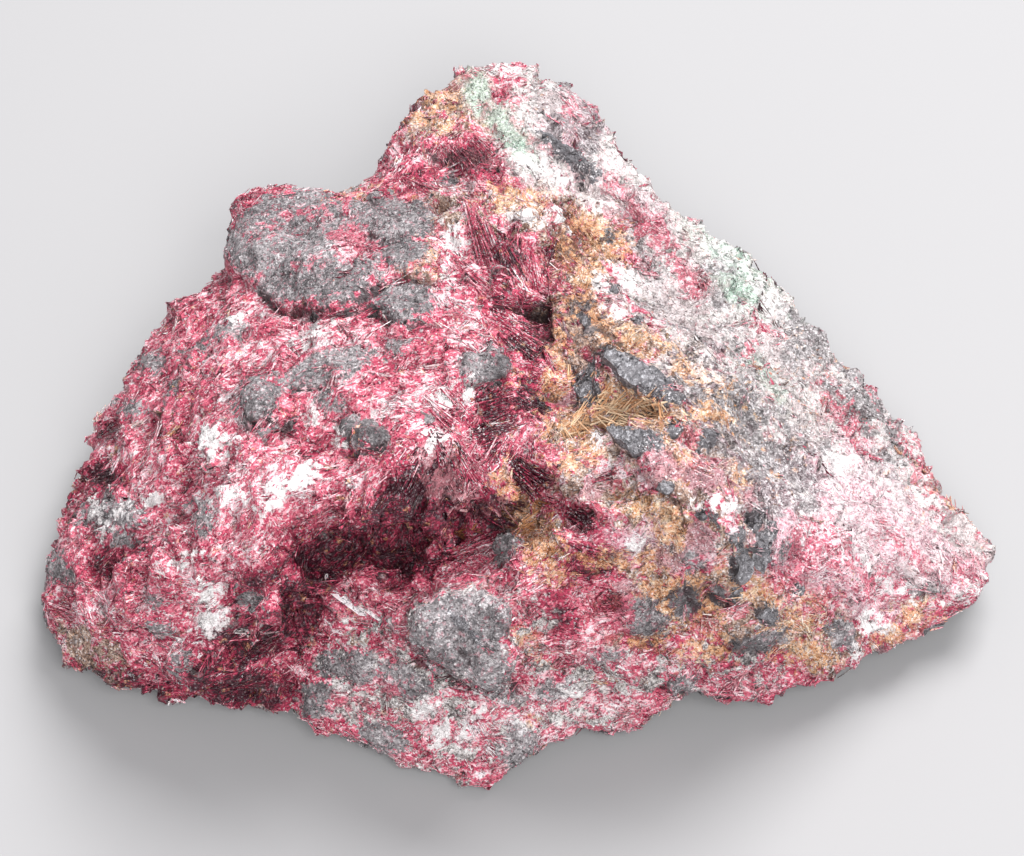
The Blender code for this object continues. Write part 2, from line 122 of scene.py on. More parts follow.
# Where each mineral shows: x, y, length, width and turn, anticlockwise, in degrees
PATCHES = {
    # the pale, sparkling flank
    "flank": [
        (560, 110, 110, 80, -40), (620, 170, 120, 70, -45), (680, 240, 140, 70, -40),
        (740, 300, 160, 110, -42), (800, 380, 170, 120, -46), (860, 440, 150, 110, -48),
        (760, 420, 150, 110, -46), (900, 480, 100, 90, -50), (700, 350, 120, 90, -40),
        (820, 470, 150, 80, -45), (660, 290, 90, 70, 0), (550, 180, 110, 50, -35),
        (962, 528, 66, 40, -60), (900, 530, 150, 90, -35),
    ],
    # dark grey speckles in the flank
    "slate": [
        (700, 372, 90, 50, -50), (730, 420, 130, 70, -50), (770, 470, 130, 70, -48),
        (745, 350, 70, 30, -50), (800, 440, 90, 34, -50), (720, 300, 40, 20, -40),
        (738, 262, 40, 20, -42), (880, 410, 70, 36, -50), (815, 350, 70, 22, -52),
        (655, 300, 30, 20, 0), (650, 262, 26, 16, -50), (590, 320, 30, 40, 0), (565, 120, 40, 30, 0),
        (880, 465, 40, 30, -45), (640, 225, 20, 30, -30), (690, 350, 34, 30, 0),
        (806, 340, 90, 40, -50), (868, 404, 100, 40, -50), (722, 268, 60, 24, -45),
        (780, 350, 50, 30, -45), (565, 106, 60, 50, -30), (600, 120, 30, 50, -40),
        (255, 400, 30, 40, -50),
    ],
    # brown, granular, half weathered
    "brown": [
        (580, 240, 90, 110, 0), (566, 330, 50, 100, 10), (620, 340, 110, 60, -20),
        (640, 405, 120, 60, -15), (600, 435, 130, 50, -10), (650, 500, 170, 80, -15),
        (690, 570, 150, 90, -15), (770, 620, 150, 70, 0), (700, 440, 100, 70, -30),
        (720, 510, 110, 80, -30), (516, 215, 74, 54, 0), (640, 620, 120, 60, 0), (445, 105, 60, 40, 10),
        (440, 124, 80, 20, 0), (452, 208, 36, 46, 0), (425, 235, 26, 80, 0), (820, 645, 70, 50, 0),
        (700, 360, 60, 40, -40), (84, 648, 84, 40, -24), (524, 628, 36, 60, 20),
    ],
    # the front below the cleft, grey and rose in grains
    "front": [
        (380, 665, 150, 80, -15), (430, 730, 200, 110, -12), (560, 690, 170, 90, 8),
        (480, 640, 170, 110, 0), (330, 690, 80, 70, -20), (660, 660, 120, 60, 10),
        (560, 740, 140, 70, 20), (740, 672, 100, 40, 8),
    ],
    # ochre and orange stain
    "ochre": [
        (440, 98, 34, 26, 30), (425, 122, 46, 12, 0), (347, 199, 50, 9, 0), (500, 198, 40, 22, 0),
        (532, 202, 30, 26, 0), (592, 235, 40, 44, 0), (574, 230, 40, 40, 0), (612, 245, 26, 40, 30),
        (560, 262, 50, 30, 20), (590, 278, 30, 40, 0), (600, 318, 44, 22, -20), (632, 344, 50, 18, -20),
        (560, 352, 16, 44, 0), (556, 385, 30, 34, 0), (634, 404, 76, 24, -18), (600, 400, 44, 20, -10),
        (577, 412, 46, 18, 15), (655, 418, 60, 16, -12), (520, 515, 44, 40, 0), (545, 545, 44, 56, 20),
        (508, 484, 24, 26, 0), (554, 574, 30, 20, 0), (588, 446, 22, 24, 0), (638, 500, 60, 20, -25),
        (672, 528, 60, 34, -40), (682, 462, 24, 26, -50), (645, 508, 60, 24, -30),
        (612, 560, 50, 18, -10), (575, 430, 40, 16, 0), (664, 440, 26, 16, 0), (566, 470, 22, 16, 20),
        (650, 560, 40, 20, 0), (706, 414, 38, 14, 0), (662, 600, 90, 44, 10), (722, 560, 26, 26, 0),
        (764, 592, 60, 22, -20), (790, 622, 76, 24, 6), (805, 600, 30, 16, 0), (700, 612, 60, 36, 0),
        (894, 634, 40, 24, 20), (915, 610, 36, 16, 10), (806, 652, 60, 26, 0), (496, 372, 18, 12, 0),
        (700, 375, 46, 16, -30), (733, 480, 20, 14, 0), (408, 262, 22, 30, 0), (430, 266, 14, 26, 0),
        (640, 640, 50, 20, 0), (530, 640, 26, 12, -40), (527, 727, 12, 14, 0), (712, 648, 50, 18, 10),
        (668, 352, 30, 14, -30),
    ],
    # grey-green alteration
    "green": [
        (481, 89, 24, 36, 25), (498, 116, 30, 34, -30), (512, 138, 44, 30, -45),
        (524, 156, 30, 20, -40), (735, 262, 90, 12, -40), (740, 292, 60, 20, -36),
        (765, 372, 42, 12, -55), (778, 396, 40, 10, -55), (474, 100, 14, 40, 30),
        (505, 128, 24, 40, 30),
    ],
    # rose in the stony parts
    "rose": [
        (650, 228, 56, 24, -50), (682, 268, 64, 26, -52), (642, 268, 22, 18, -40),
        (757, 326, 20, 8, -20), (750, 345, 10, 12, 0), (843, 414, 66, 22, -55), (838, 350, 60, 7, -52),
        (922, 470, 56, 9, -62), (618, 184, 44, 18, -45), (572, 105, 14, 16, 0), (503, 82, 16, 20, 0),
        (512, 105, 14, 10, 0), (355, 250, 44, 36, -10), (316, 219, 22, 7, 0), (288, 222, 12, 8, 0),
        (272, 238, 18, 9, 0), (314, 272, 20, 8, 10), (255, 194, 18, 12, 30), (245, 285, 34, 12, 15),
        (320, 345, 60, 16, 5), (656, 464, 36, 22, 0), (612, 478, 30, 12, 10), (590, 515, 40, 24, -10),
        (596, 610, 80, 70, 0), (575, 640, 70, 40, 0), (640, 660, 40, 20, 0), (716, 560, 30, 18, 0),
        (724, 504, 30, 20, 0), (690, 436, 30, 18, 0), (556, 222, 22, 30, 30), (577, 240, 16, 12, 0),
        (545, 268, 30, 50, 30), (345, 700, 40, 20, 0), (387, 690, 30, 18, 20), (484, 725, 40, 40, 0),
        (521, 672, 20, 14, 0), (520, 672, 26, 30, 0), (558, 750, 32, 56, 0), (430, 768, 60, 20, -8),
        (484, 772, 40, 22, 0), (330, 745, 24, 16, 0), (620, 738, 50, 28, 20), (604, 704, 80, 18, 5),
        (745, 680, 54, 22, 10), (738, 612, 22, 20, 0), (705, 620, 24, 18, 0), (790, 586, 40, 22, 0),
        (818, 548, 60, 60, 0), (878, 585, 50, 40, 0), (826, 605, 44, 24, 0), (912, 640, 34, 18, 20),
        (850, 672, 40, 12, 10), (700, 468, 20, 16, 0), (763, 545, 10, 8, 0), (640, 372, 9, 6, 0),
        (400, 640, 40, 26, 0), (530, 610, 40, 30, 0), (908, 552, 70, 20, -40), (950, 572, 50, 16, -30),
    ],
    # shaded crimson in gaps and clefts: deep crimson, darkened further there as painted shade
    "deep": [
        (405, 530, 210, 50, 14), (330, 560, 110, 50, 10), (410, 490, 60, 44, 30),
        (542, 322, 22, 70, -12), (508, 262, 26, 60, -14), (470, 160, 44, 26, -20),
        (255, 640, 120, 50, 20), (400, 560, 60, 44, 0), (140, 690, 160, 30, -12),
        (240, 690, 130, 44, -8), (300, 610, 50, 90, 0), (104, 476, 36, 40, 40), (500, 405, 70, 26, 20),
        (536, 400, 20, 40, 0), (440, 480, 70, 40, 10), (110, 560, 50, 20, 20), (600, 555, 60, 20, 0),
        (410, 184, 50, 16, 30), (350, 438, 40, 16, 10), (314, 444, 26, 18, -30), (320, 468, 20, 14, 0),
        (255, 580, 60, 24, 30), (590, 522, 36, 20, -30), (580, 325, 50, 60, 0), (700, 595, 60, 40, 0),
        (585, 560, 50, 14, -10), (610, 600, 40, 24, 0), (560, 620, 30, 30, 0), (650, 640, 50, 24, 0),
        (740, 650, 60, 24, 0), (745, 250, 60, 20, -40), (500, 372, 14, 14, 0), (572, 244, 44, 50, 0),
        (588, 572, 40, 16, 0), (561, 604, 14, 26, 0), (650, 492, 36, 8, 0), (716, 600, 20, 16, 0),
        (470, 280, 30, 10, -40),
    ],
    # rose with many pale blades; the patch at 310, 265 on the grey slab is a painted sheen
    "pale": [
        (300, 470, 130, 50, 25), (220, 500, 120, 50, 25), (395, 405, 60, 24, 20), (330, 335, 90, 24, 5),
        (456, 290, 60, 60, -30), (470, 330, 60, 50, -50), (205, 600, 60, 40, 20),
        (620, 540, 90, 50, -10), (840, 530, 140, 70, -35), (920, 560, 90, 60, -30),
        (880, 500, 90, 60, -45), (485, 720, 50, 50, 10), (430, 715, 60, 50, 0), (660, 460, 60, 30, 0),
        (240, 430, 60, 40, 30), (455, 235, 40, 50, 0), (150, 470, 60, 40, 30), (600, 600, 90, 40, 0),
        (800, 500, 90, 50, -30), (430, 190, 90, 20, 0), (250, 350, 70, 40, 20), (600, 470, 90, 40, 0),
        (350, 480, 60, 30, 20), (640, 440, 40, 20, 0), (500, 590, 90, 24, 20), (580, 640, 60, 30, 0),
        (190, 650, 50, 24, 0), (310, 265, 90, 40, 0), (418, 392, 40, 24, 10), (570, 710, 120, 60, 10),
        (90, 612, 50, 24, 0), (670, 660, 60, 24, 0), (620, 490, 90, 60, 0), (620, 450, 70, 40, 0),
        (430, 160, 60, 40, 0), (110, 460, 50, 30, 0), (230, 560, 90, 40, 20), (740, 555, 60, 70, 0),
        (250, 320, 90, 40, 20), (870, 590, 120, 40, -20), (930, 590, 50, 40, 0),
    ],
    # smooth plates of dull rose
    "mauve": [
        (662, 466, 42, 34, 20), (706, 478, 44, 26, -10), (590, 492, 44, 14, 20), (500, 506, 40, 16, 10),
        (582, 520, 30, 20, 0), (640, 432, 24, 14, 0), (745, 505, 20, 30, 0), (700, 540, 24, 30, 30),
        (626, 588, 24, 18, 0), (455, 480, 60, 50, 30), (436, 466, 36, 50, 20), (470, 158, 40, 20, -20),
        (572, 400, 20, 12, 0), (668, 560, 24, 16, 0),
    ],
    # lilac pink in fine streaks
    "blush": [
        (885, 525, 150, 90, -45), (830, 495, 120, 56, -45), (930, 560, 100, 60, -35),
        (800, 548, 110, 60, -35), (850, 590, 130, 50, -25), (770, 505, 90, 40, -40),
        (640, 545, 70, 40, -10), (575, 120, 60, 70, -40), (640, 210, 60, 30, -45),
        (700, 470, 50, 30, -30), (860, 450, 60, 30, -50),
    ],
    # where blades are long, and stand apart from each other
    "fibrous": [
        (510, 255, 100, 130, 0), (505, 330, 90, 60, -30), (500, 405, 110, 50, 10),
        (450, 470, 120, 90, 0), (530, 480, 60, 60, 0), (430, 165, 110, 60, 20), (250, 650, 150, 60, 20),
        (600, 490, 80, 70, -10), (110, 470, 60, 80, 40), (480, 530, 120, 50, 10), (600, 560, 90, 40, 0),
        (150, 640, 120, 50, 10),
    ],
    # where ochre stands in fibres like straw
    "straw": [
        (634, 408, 90, 34, -18), (535, 530, 60, 90, 0), (590, 262, 50, 70, 0), (600, 414, 60, 24, 0),
        (668, 470, 40, 50, 0), (700, 605, 90, 40, 0), (556, 270, 30, 40, 0), (790, 622, 50, 20, 0),
    ],
    # smooth grey-lilac quartz
    "quartz": [
        (672, 306, 52, 36, -30), (792, 408, 64, 16, -58), (694, 332, 34, 20, 0), (821, 431, 16, 12, 0),
        (612, 196, 90, 22, -36), (652, 236, 40, 14, -50), (700, 300, 20, 44, -50),
        (560, 104, 40, 20, -30), (812, 378, 30, 14, -50), (770, 350, 50, 16, -40),
        (900, 500, 40, 16, -50), (964, 526, 84, 24, -60),
    ],
    # grey ore, finely granular
    "grey": [
        (300, 232, 110, 78, -6), (286, 270, 96, 66, -10), (345, 270, 80, 56, 10), (388, 222, 70, 56, 0),
        (404, 256, 50, 34, -14), (330, 295, 90, 26, 0), (404, 303, 66, 42, 0), (419, 220, 30, 40, 0),
        (328, 369, 98, 34, 18), (256, 400, 36, 50, -50), (330, 400, 28, 22, 0), (400, 348, 26, 16, 0),
        (484, 366, 52, 40, 0), (362, 434, 56, 34, -15), (112, 514, 66, 34, 0), (202, 519, 26, 36, 0),
        (171, 388, 16, 24, 0), (151, 361, 24, 20, 20), (131, 410, 24, 14, 0), (59, 568, 28, 32, 40),
        (161, 628, 25, 24, 0), (176, 664, 26, 20, 0), (255, 601, 20, 22, 0), (452, 620, 66, 48, 24),
        (484, 622, 50, 60, -20), (458, 650, 70, 36, -22), (490, 664, 40, 40, -36),
        (383, 739, 60, 32, -15), (350, 668, 70, 30, -10), (405, 682, 60, 34, -10),
        (520, 752, 44, 66, 20), (685, 688, 30, 24, 0), (320, 700, 40, 36, -20), (506, 690, 40, 22, -20),
        (390, 628, 34, 16, 0), (560, 690, 50, 22, 10), (640, 616, 60, 40, 0), (686, 603, 32, 36, 20),
        (760, 640, 60, 26, 10), (240, 250, 26, 60, 20), (506, 548, 30, 34, 0), (700, 560, 36, 30, 0),
        (610, 655, 40, 22, 0), (230, 330, 40, 16, 20), (195, 350, 30, 12, 20), (840, 632, 26, 36, 20),
        (720, 598, 20, 20, 0), (796, 540, 20, 60, -40), (925, 590, 40, 16, 0), (450, 180, 12, 16, 0),
        (268, 430, 24, 12, 20), (120, 540, 30, 12, 0), (150, 600, 20, 14, 0), (430, 420, 16, 12, 0),
    ],
    # white and cream; the small patches at 98, 515, 122, 515, 452, 236 and 450, 277 are painted glints
    "white": [
        (304, 476, 40, 22, 30), (284, 492, 30, 14, 20), (210, 440, 28, 34, 20), (236, 494, 24, 12, 30),
        (312, 332, 32, 20, 20), (314, 414, 14, 14, 0), (338, 439, 16, 9, -30), (434, 440, 20, 16, 0),
        (442, 396, 24, 14, 20), (470, 392, 12, 18, 0), (452, 236, 24, 16, -50), (450, 277, 12, 22, 0),
        (528, 218, 30, 16, -10), (550, 176, 90, 26, -28), (585, 196, 50, 20, -35),
        (612, 163, 28, 22, -30), (628, 278, 34, 20, -30), (600, 285, 16, 18, 30),
        (616, 312, 22, 12, -30), (730, 507, 46, 14, -8), (838, 465, 36, 28, -10),
        (872, 484, 40, 10, -55), (853, 649, 13, 18, -20), (870, 625, 30, 24, 0), (206, 592, 24, 18, 0),
        (208, 622, 30, 24, 20), (98, 515, 10, 24, 10), (122, 515, 14, 20, -20), (700, 365, 14, 20, -30),
        (660, 364, 12, 10, 0), (590, 78, 20, 10, 0), (640, 190, 30, 12, -45), (634, 544, 18, 12, 10),
        (768, 300, 50, 22, -45), (722, 248, 60, 10, -42), (690, 262, 10, 10, 0),
        (846, 510, 50, 12, -60), (960, 594, 28, 14, 30), (865, 560, 30, 10, -60),
        (715, 373, 12, 20, -30), (808, 500, 24, 10, -50), (573, 690, 22, 12, -20),
        (425, 705, 24, 16, 0), (440, 735, 20, 24, 0), (346, 690, 12, 8, 0), (468, 724, 38, 9, 68),
        (380, 620, 10, 10, 0), (596, 436, 12, 12, 0), (150, 500, 14, 10, 0), (270, 505, 20, 10, 20),
        (182, 560, 20, 8, 20), (500, 68, 24, 10, 0), (384, 410, 14, 8, 0), (243, 318, 14, 7, 20),
        (935, 560, 26, 8, -40), (915, 576, 26, 8, -35), (898, 590, 22, 8, -30),
    ],
    # blue-black metallic ore in smooth lumps and plates
    "ore": [
        (622, 364, 52, 26, -24), (652, 384, 56, 28, -30), (671, 398, 28, 22, -40),
        (588, 390, 28, 34, 20), (590, 372, 22, 20, 0), (637, 440, 52, 24, -12), (584, 321, 14, 18, 0),
        (606, 239, 14, 16, 0), (614, 291, 9, 12, 0), (638, 325, 12, 14, 0), (673, 433, 16, 15, 0),
        (708, 440, 16, 20, 0), (740, 546, 19, 38, 10), (762, 552, 16, 34, -20), (738, 574, 16, 20, 0),
        (766, 614, 22, 20, 0), (798, 590, 14, 12, 0), (736, 598, 14, 10, 0), (665, 487, 18, 14, 0),
        (768, 535, 14, 16, 0), (567, 152, 82, 19, -38), (756, 520, 18, 22, 0), (705, 517, 14, 12, 0),
        (470, 628, 40, 10, -48),
    ],
}

# Plates that stand above the skin, or gaps sunk into it: corners, and rise in millimetres
STEPS = [
    # the grey slab, its neighbour and the plate on it
    ([(228, 262), (240, 215), (251, 190), (300, 196), (344, 202), (400, 230), (439, 238), (433, 280),
      (396, 277), (380, 288), (362, 304), (330, 311), (286, 313), (262, 292)], 0.9),
    ([(367, 298), (396, 283), (436, 287), (438, 305), (425, 325), (390, 322), (372, 312)], 0.45),
    ([(344, 199), (372, 203), (399, 220), (397, 232), (370, 229), (344, 220)], 0.5),
    # the grey boulder at the front, and the crack under it
    ([(416, 614), (430, 596), (446, 590), (482, 590), (508, 612), (513, 648), (506, 688), (470, 681),
      (437, 669), (420, 645)], 1.2),
    ([(422, 616), (446, 594), (474, 596), (470, 618), (446, 640), (424, 636)], 0.5),
    ([(478, 640), (504, 624), (510, 640), (504, 670), (486, 676)], 0.4),
    ([(436, 672), (470, 684), (502, 692), (500, 700), (466, 692), (434, 680)], -0.7),
    # grey blocks in the rose
    ([(290, 372), (320, 352), (365, 352), (372, 366), (340, 385), (300, 390)], 0.5),
    ([(243, 385), (262, 384), (277, 404), (270, 420), (250, 418)], 0.6),
    ([(338, 424), (366, 416), (390, 434), (382, 450), (352, 448)], 0.5),
    ([(462, 350), (500, 346), (510, 366), (498, 384), (468, 382)], 0.6),
    # the recess under the ore slab, with fibres in it
    ([(590, 396), (612, 384), (640, 398), (668, 412), (650, 416), (610, 408)], -0.8),
    # the crevice's gaps
    ([(500, 298), (546, 302), (546, 313), (500, 309)], -1.3),
    ([(538, 306), (548, 308), (546, 338), (538, 332)], -1.3),
    # the cleft's deepest parts
    ([(294, 552), (330, 538), (400, 522), (470, 500), (498, 506), (470, 532), (420, 548), (340, 572)], -1.4),
    ([(376, 560), (406, 550), (412, 580), (396, 594), (378, 588)], -1.2),
    ([(296, 560), (326, 560), (324, 600), (318, 626), (312, 600)], -0.9),
    # small hollows
    ([(430, 146), (448, 148), (444, 164), (432, 162)], -1.2),
    ([(672, 590), (698, 588), (698, 616), (676, 618)], -0.5),
    ([(712, 594), (730, 598), (726, 612), (712, 606)], -0.8),
    ([(500, 470), (530, 480), (560, 520), (556, 556), (524, 548), (498, 500)], -0.4),
    ([(200, 640), (250, 630), (290, 600), (296, 620), (256, 660), (210, 664)], -0.7),
    ([(596, 554), (650, 548), (660, 560), (610, 570)], -0.5),
]

# Cracks and undercuts, sunk a little into the skin and darkened with painted shadow: the line that they
# follow, and their breadth, in pixels
CRACKS = [
    ([(262, 296), (286, 315), (330, 314), (362, 306), (381, 290), (396, 280), (434, 283)], 7),
    ([(367, 304), (378, 316), (392, 325), (424, 327)], 5),
    ([(414, 640), (424, 658), (437, 671), (470, 684), (498, 692), (514, 684)], 7),
    ([(458, 642), (474, 658)], 4), ([(372, 240), (392, 250), (404, 244)], 5),
    ([(500, 303), (524, 305), (548, 308), (546, 336)], 9),
    ([(243, 414), (256, 424), (270, 422)], 5), ([(340, 450), (366, 453), (388, 446)], 5),
    ([(290, 390), (318, 390), (344, 386)], 4), ([(464, 384), (484, 388), (504, 382)], 4),
    ([(448, 488), (446, 508)], 5),
    ([(590, 399), (606, 405), (640, 402), (668, 412)], 5), ([(606, 446), (630, 456), (642, 457)], 4),
    ([(562, 350), (572, 366), (578, 384)], 6), ([(600, 332), (626, 350)], 5), ([(541, 388), (560, 398)], 4),
    ([(344, 201), (372, 205), (399, 222)], 4), ([(430, 150), (446, 156), (452, 164)], 8),
    ([(672, 592), (690, 590), (694, 610)], 6), ([(714, 600), (728, 606)], 7), ([(732, 560), (736, 580)], 5),
    ([(628, 494), (648, 488), (668, 496), (682, 516), (684, 532)], 6),
    ([(540, 130), (560, 150), (590, 180)], 3), ([(636, 252), (650, 262)], 3),
]

# The cleft and the crevice, whose overhangs are as crimson as their walls and carry the same painted shade,
# and the height of their floor
CLEFT = [(420, 530, 280, 100, 14), (310, 595, 70, 130, 0), (425, 480, 80, 70, 0), (530, 330, 50, 130, 0)]
CLEFT_FLOOR = 6 * MM

# The way that blades run on the show side: x, y, and turn in degrees, anticlockwise from the right
GRAIN = [
    (120, 420, 40), (180, 340, 35), (120, 560, 10), (80, 620, -10), (200, 480, 28), (260, 540, 25),
    (200, 620, 15), (160, 690, -8), (300, 470, 28), (380, 400, 20), (420, 340, 5), (460, 300, -25),
    (500, 260, -50), (520, 200, -60), (470, 170, -45), (430, 140, 50), (480, 400, 40), (520, 370, 10),
    (545, 330, -40), (560, 420, 60), (500, 470, 60), (440, 500, 80), (400, 540, 70), (330, 560, 50),
    (300, 620, 60), (270, 660, 30), (350, 600, -35), (420, 580, 35), (500, 560, 30), (560, 540, 40),
    (600, 500, -10), (640, 460, -5), (620, 400, -60), (580, 420, 20), (680, 520, -15), (740, 600, -20),
    (800, 560, -28), (860, 600, -30), (900, 560, -25), (940, 580, -20), (860, 480, -45), (780, 400, -45),
    (700, 280, -40), (640, 200, -42), (560, 120, -38), (420, 700, 10), (500, 760, 5), (600, 720, 12),
    (640, 660, 0), (480, 620, 0), (340, 720, -15), (360, 260, 10), (280, 240, 5),
]

# On the sides that the photograph doesn't show: how much of each mineral there is, as a level that slow
# noise has to pass, and the size of its patches in millimetres
HIDDEN_SIDES = {
    "grey": (0.25, 7.0), "ore": (0.85, 4.0), "white": (0.75, 5.0), "ochre": (0.55, 9.0),
    "green": (0.95, 12.0), "brown": (0.60, 14.0), "flank": (0.50, 18.0), "front": (0.15, 16.0),
    "deep": (0.45, 11.0), "pale": (0.30, 10.0), "slate": (0.30, 8.0), "rose": (0.55, 7.0),
    "blush": (0.75, 12.0), "mauve": (0.80, 6.0), "fibrous": (0.40, 12.0), "quartz": (0.70, 6.0),
    "straw": (0.50, 10.0),
}

# Sheaves of long blades: from x, y to x, y, the sheaf's breadth, its blades and their tone
SHEAVES = [
    # the crevice
    (466, 194, 496, 278, 12, 16, -0.06), (478, 200, 500, 262, 8, 8, 0.10),
    (500, 236, 522, 292, 14, 14, -0.10), (556, 240, 545, 268, 8, 7, 0.00),
    (546, 262, 543, 302, 9, 9, -0.04), (528, 250, 536, 296, 12, 10, 0.02),
    (476, 300, 540, 306, 5, 8, -0.02), (486, 312, 546, 346, 16, 18, -0.05),
    (500, 330, 548, 372, 14, 14, -0.16), (540, 344, 552, 378, 10, 10, -0.02),
    (456, 262, 492, 292, 16, 12, 0.16), (444, 300, 480, 316, 12, 8, 0.14),
    # below the grey block
    (470, 402, 520, 388, 10, 10, 0.02), (480, 420, 544, 398, 16, 16, -0.10),
    (470, 436, 530, 416, 14, 14, -0.18), (432, 376, 470, 412, 10, 9, 0.12),
    (420, 396, 468, 440, 14, 12, 0.02), (512, 396, 548, 420, 12, 10, -0.12),
    # the lip over the cleft
    (512, 436, 480, 480, 22, 22, -0.02), (508, 432, 470, 452, 16, 12, -0.06),
    (446, 424, 486, 500, 12, 14, 0.02), (428, 424, 462, 496, 12, 12, -0.20),
    (466, 466, 484, 500, 12, 10, 0.06), (470, 476, 462, 510, 10, 8, 0.12),
    (424, 448, 396, 500, 16, 10, -0.26), (412, 458, 420, 476, 12, 3, -0.12),
    (440, 456, 402, 516, 12, 8, -0.30), (424, 498, 396, 524, 3, 1, 0.10),
    (396, 486, 372, 520, 14, 9, -0.28), (452, 440, 468, 466, 6, 5, -0.34),
    # the walls of the cleft
    (506, 460, 548, 492, 20, 18, -0.20), (470, 508, 520, 530, 12, 14, -0.14),
    (446, 556, 502, 534, 10, 12, 0.04), (440, 576, 488, 552, 10, 12, 0.10),
    (500, 500, 528, 508, 8, 7, -0.10), (560, 508, 596, 528, 14, 12, -0.16),
    (330, 560, 318, 606, 8, 7, -0.30), (300, 556, 290, 584, 8, 6, -0.25),
    (380, 560, 420, 548, 8, 6, -0.20),
    # single pale blades at the front
    (322, 579, 367, 616, 14, 1, 0.52), (362, 606, 382, 622, 5, 1, 0.44),
    (463, 706, 476, 743, 8, 3, 0.40), (617, 664, 629, 671, 3, 1, 0.50),
    (474, 712, 492, 734, 10, 5, 0.18), (482, 744, 494, 758, 8, 4, 0.20),
    # the apex
    (452, 146, 492, 186, 16, 5, -0.10), (428, 132, 462, 166, 16, 5, -0.02),
    (400, 176, 444, 196, 14, 6, 0.06), (384, 172, 420, 150, 12, 5, -0.02),
    (470, 136, 500, 176, 14, 6, 0.02), (440, 186, 478, 196, 10, 6, 0.18),
    # right of the crevice
    (590, 482, 622, 472, 8, 4, -0.20), (560, 540, 610, 556, 10, 10, -0.06),
    (640, 470, 668, 462, 8, 6, -0.04),
    # the left edge
    (96, 440, 122, 420, 12, 9, -0.12), (88, 478, 118, 462, 14, 10, -0.16),
    (236, 664, 290, 640, 16, 14, -0.12), (210, 690, 270, 676, 14, 12, -0.06),
    (140, 652, 200, 668, 16, 12, 0.02), (46, 606, 80, 622, 12, 9, 0.00),
]
SHEAF_RISE = (0.0, 0.20 * MM)
SHEAF_WIDE = (0.07 * MM, 0.20 * MM)

# The same for the straw under the ore slab and at the end of the cleft
STRAW_SHEAVES = [
    (572, 420, 628, 402, 14, 22, 0.40), (584, 424, 650, 410, 12, 24, 0.42),
    (600, 410, 660, 402, 10, 18, 0.34), (640, 398, 672, 410, 10, 16, 0.30),
    (600, 426, 640, 420, 8, 14, 0.36), (560, 428, 596, 436, 14, 14, 0.30),
    (590, 408, 618, 384, 10, 12, 0.34), (636, 414, 676, 420, 8, 10, 0.26),
    (510, 496, 524, 506, 10, 5, 0.10), (520, 518, 532, 532, 12, 6, 0.06),
    (534, 500, 538, 520, 10, 5, 0.02), (546, 540, 552, 560, 10, 6, 0.10),
    (450, 534, 484, 528, 8, 5, 0.00), (562, 384, 576, 370, 8, 5, 0.20),
    (536, 540, 524, 556, 8, 5, 0.16), (556, 530, 546, 516, 8, 5, 0.20),
    (620, 396, 612, 410, 10, 6, 0.40), (650, 404, 640, 416, 10, 6, 0.34),
]

# How sheaves lie: where their blades start, how long loose ones are, how far they cross, and their tints
ROSE_SHEAF = {"first": (0.0, 0.4), "length": None, "cross": 0.25, "tone": 0.0, "tints": 0.08}
STRAW_SHEAF = {"first": (0.0, 0.75), "length": (0.12, 0.40), "cross": 0.85, "tone": -0.06, "tints": 0.20}
SHEAF_THICKNESS = 0.4
SHEAF_END_LOSS = 0.4
SHEAF_TINT = -0.06
BLADES_PER_COUNT = 3
ROOT_SPREAD = 0.8
TIP_SPREAD = 1.2
# Sheaves keep the rose's colours, so these minerals are kept off them
NOT_ON_SHEAVES = (
    "grey", "ore", "white", "slate", "flank", "quartz", "green", "front", "brown", "ochre", "crack",
    "blush", "mauve",
)

# Lumps of grey rock and of white quartz: x, y, length, width, turn, thickness and rise
ROCK_LUMPS = [
    (484, 365, 46, 36, 0, 18, -4), (258, 402, 30, 42, -45, 18, -5),
    (330, 369, 86, 30, 18, 18, -5), (364, 434, 50, 30, -15, 18, -5), (506, 548, 30, 32, 0, 16, -3),
    (402, 304, 62, 38, 0, 18, -6), (527, 218, 30, 20, -10, 18, 3), (628, 279, 24, 14, -30, 10, -2),
    (300, 395, 24, 16, 0, 10, -3), (688, 604, 28, 26, 20, 12, -3), (112, 514, 40, 28, 0, 14, -5),
]

# Lumps of ore: x, y, length, width, turn, thickness and rise, in pixels and degrees
ORE_LUMPS = [
    (590, 371, 22, 19, 0, 14, 1), (584, 321, 15, 19, 0, 9, 0),
    (606, 239, 14, 17, 0, 9, 0), (614, 291, 9, 12, 0, 7, 0), (638, 325, 12, 14, 0, 8, 0),
    (673, 433, 17, 15, 0, 8, 0), (708, 439, 18, 22, 0, 9, 0), (736, 590, 17, 12, 0, 7, 0),
    (766, 614, 23, 21, 0, 9, 0), (798, 590, 16, 13, 0, 8, 0), (665, 487, 19, 14, 0, 9, 0),
    (756, 518, 16, 16, 0, 9, 0), (705, 517, 12, 10, 0, 7, 0), (762, 540, 14, 22, 20, 10, 0),
]
# Plates of ore: corners in pixels, thickness and rise
ORE_PLATES = [
    ([(602, 360), (606, 352), (613, 350), (624, 356), (638, 364), (652, 367), (660, 375), (668, 384),
      (678, 400), (675, 411), (667, 406), (652, 397), (640, 396), (628, 392), (618, 382), (614, 374)], 9, 6),
    ([(607, 426), (614, 424), (620, 427), (628, 432), (640, 429), (652, 436), (663, 443), (659, 447),
      (646, 446), (640, 456), (631, 455), (627, 446), (617, 440)], 8, 2),
    ([(734, 530), (742, 526), (749, 533), (750, 545), (747, 552), (754, 562), (750, 580), (740, 584),
      (735, 576), (738, 566), (731, 552)], 8, 1),
    ([(755, 546), (762, 541), (769, 547), (772, 560), (764, 574), (756, 570), (752, 558)], 7, 1),
    ([(537, 128), (548, 131), (557, 139), (570, 146), (583, 158), (590, 162), (600, 173), (592, 178),
      (580, 171), (570, 168), (556, 160), (548, 148)], 4, 0),
    ([(579, 388), (588, 382), (598, 386), (600, 394), (594, 404), (584, 402), (577, 396)], 12, 3),
]

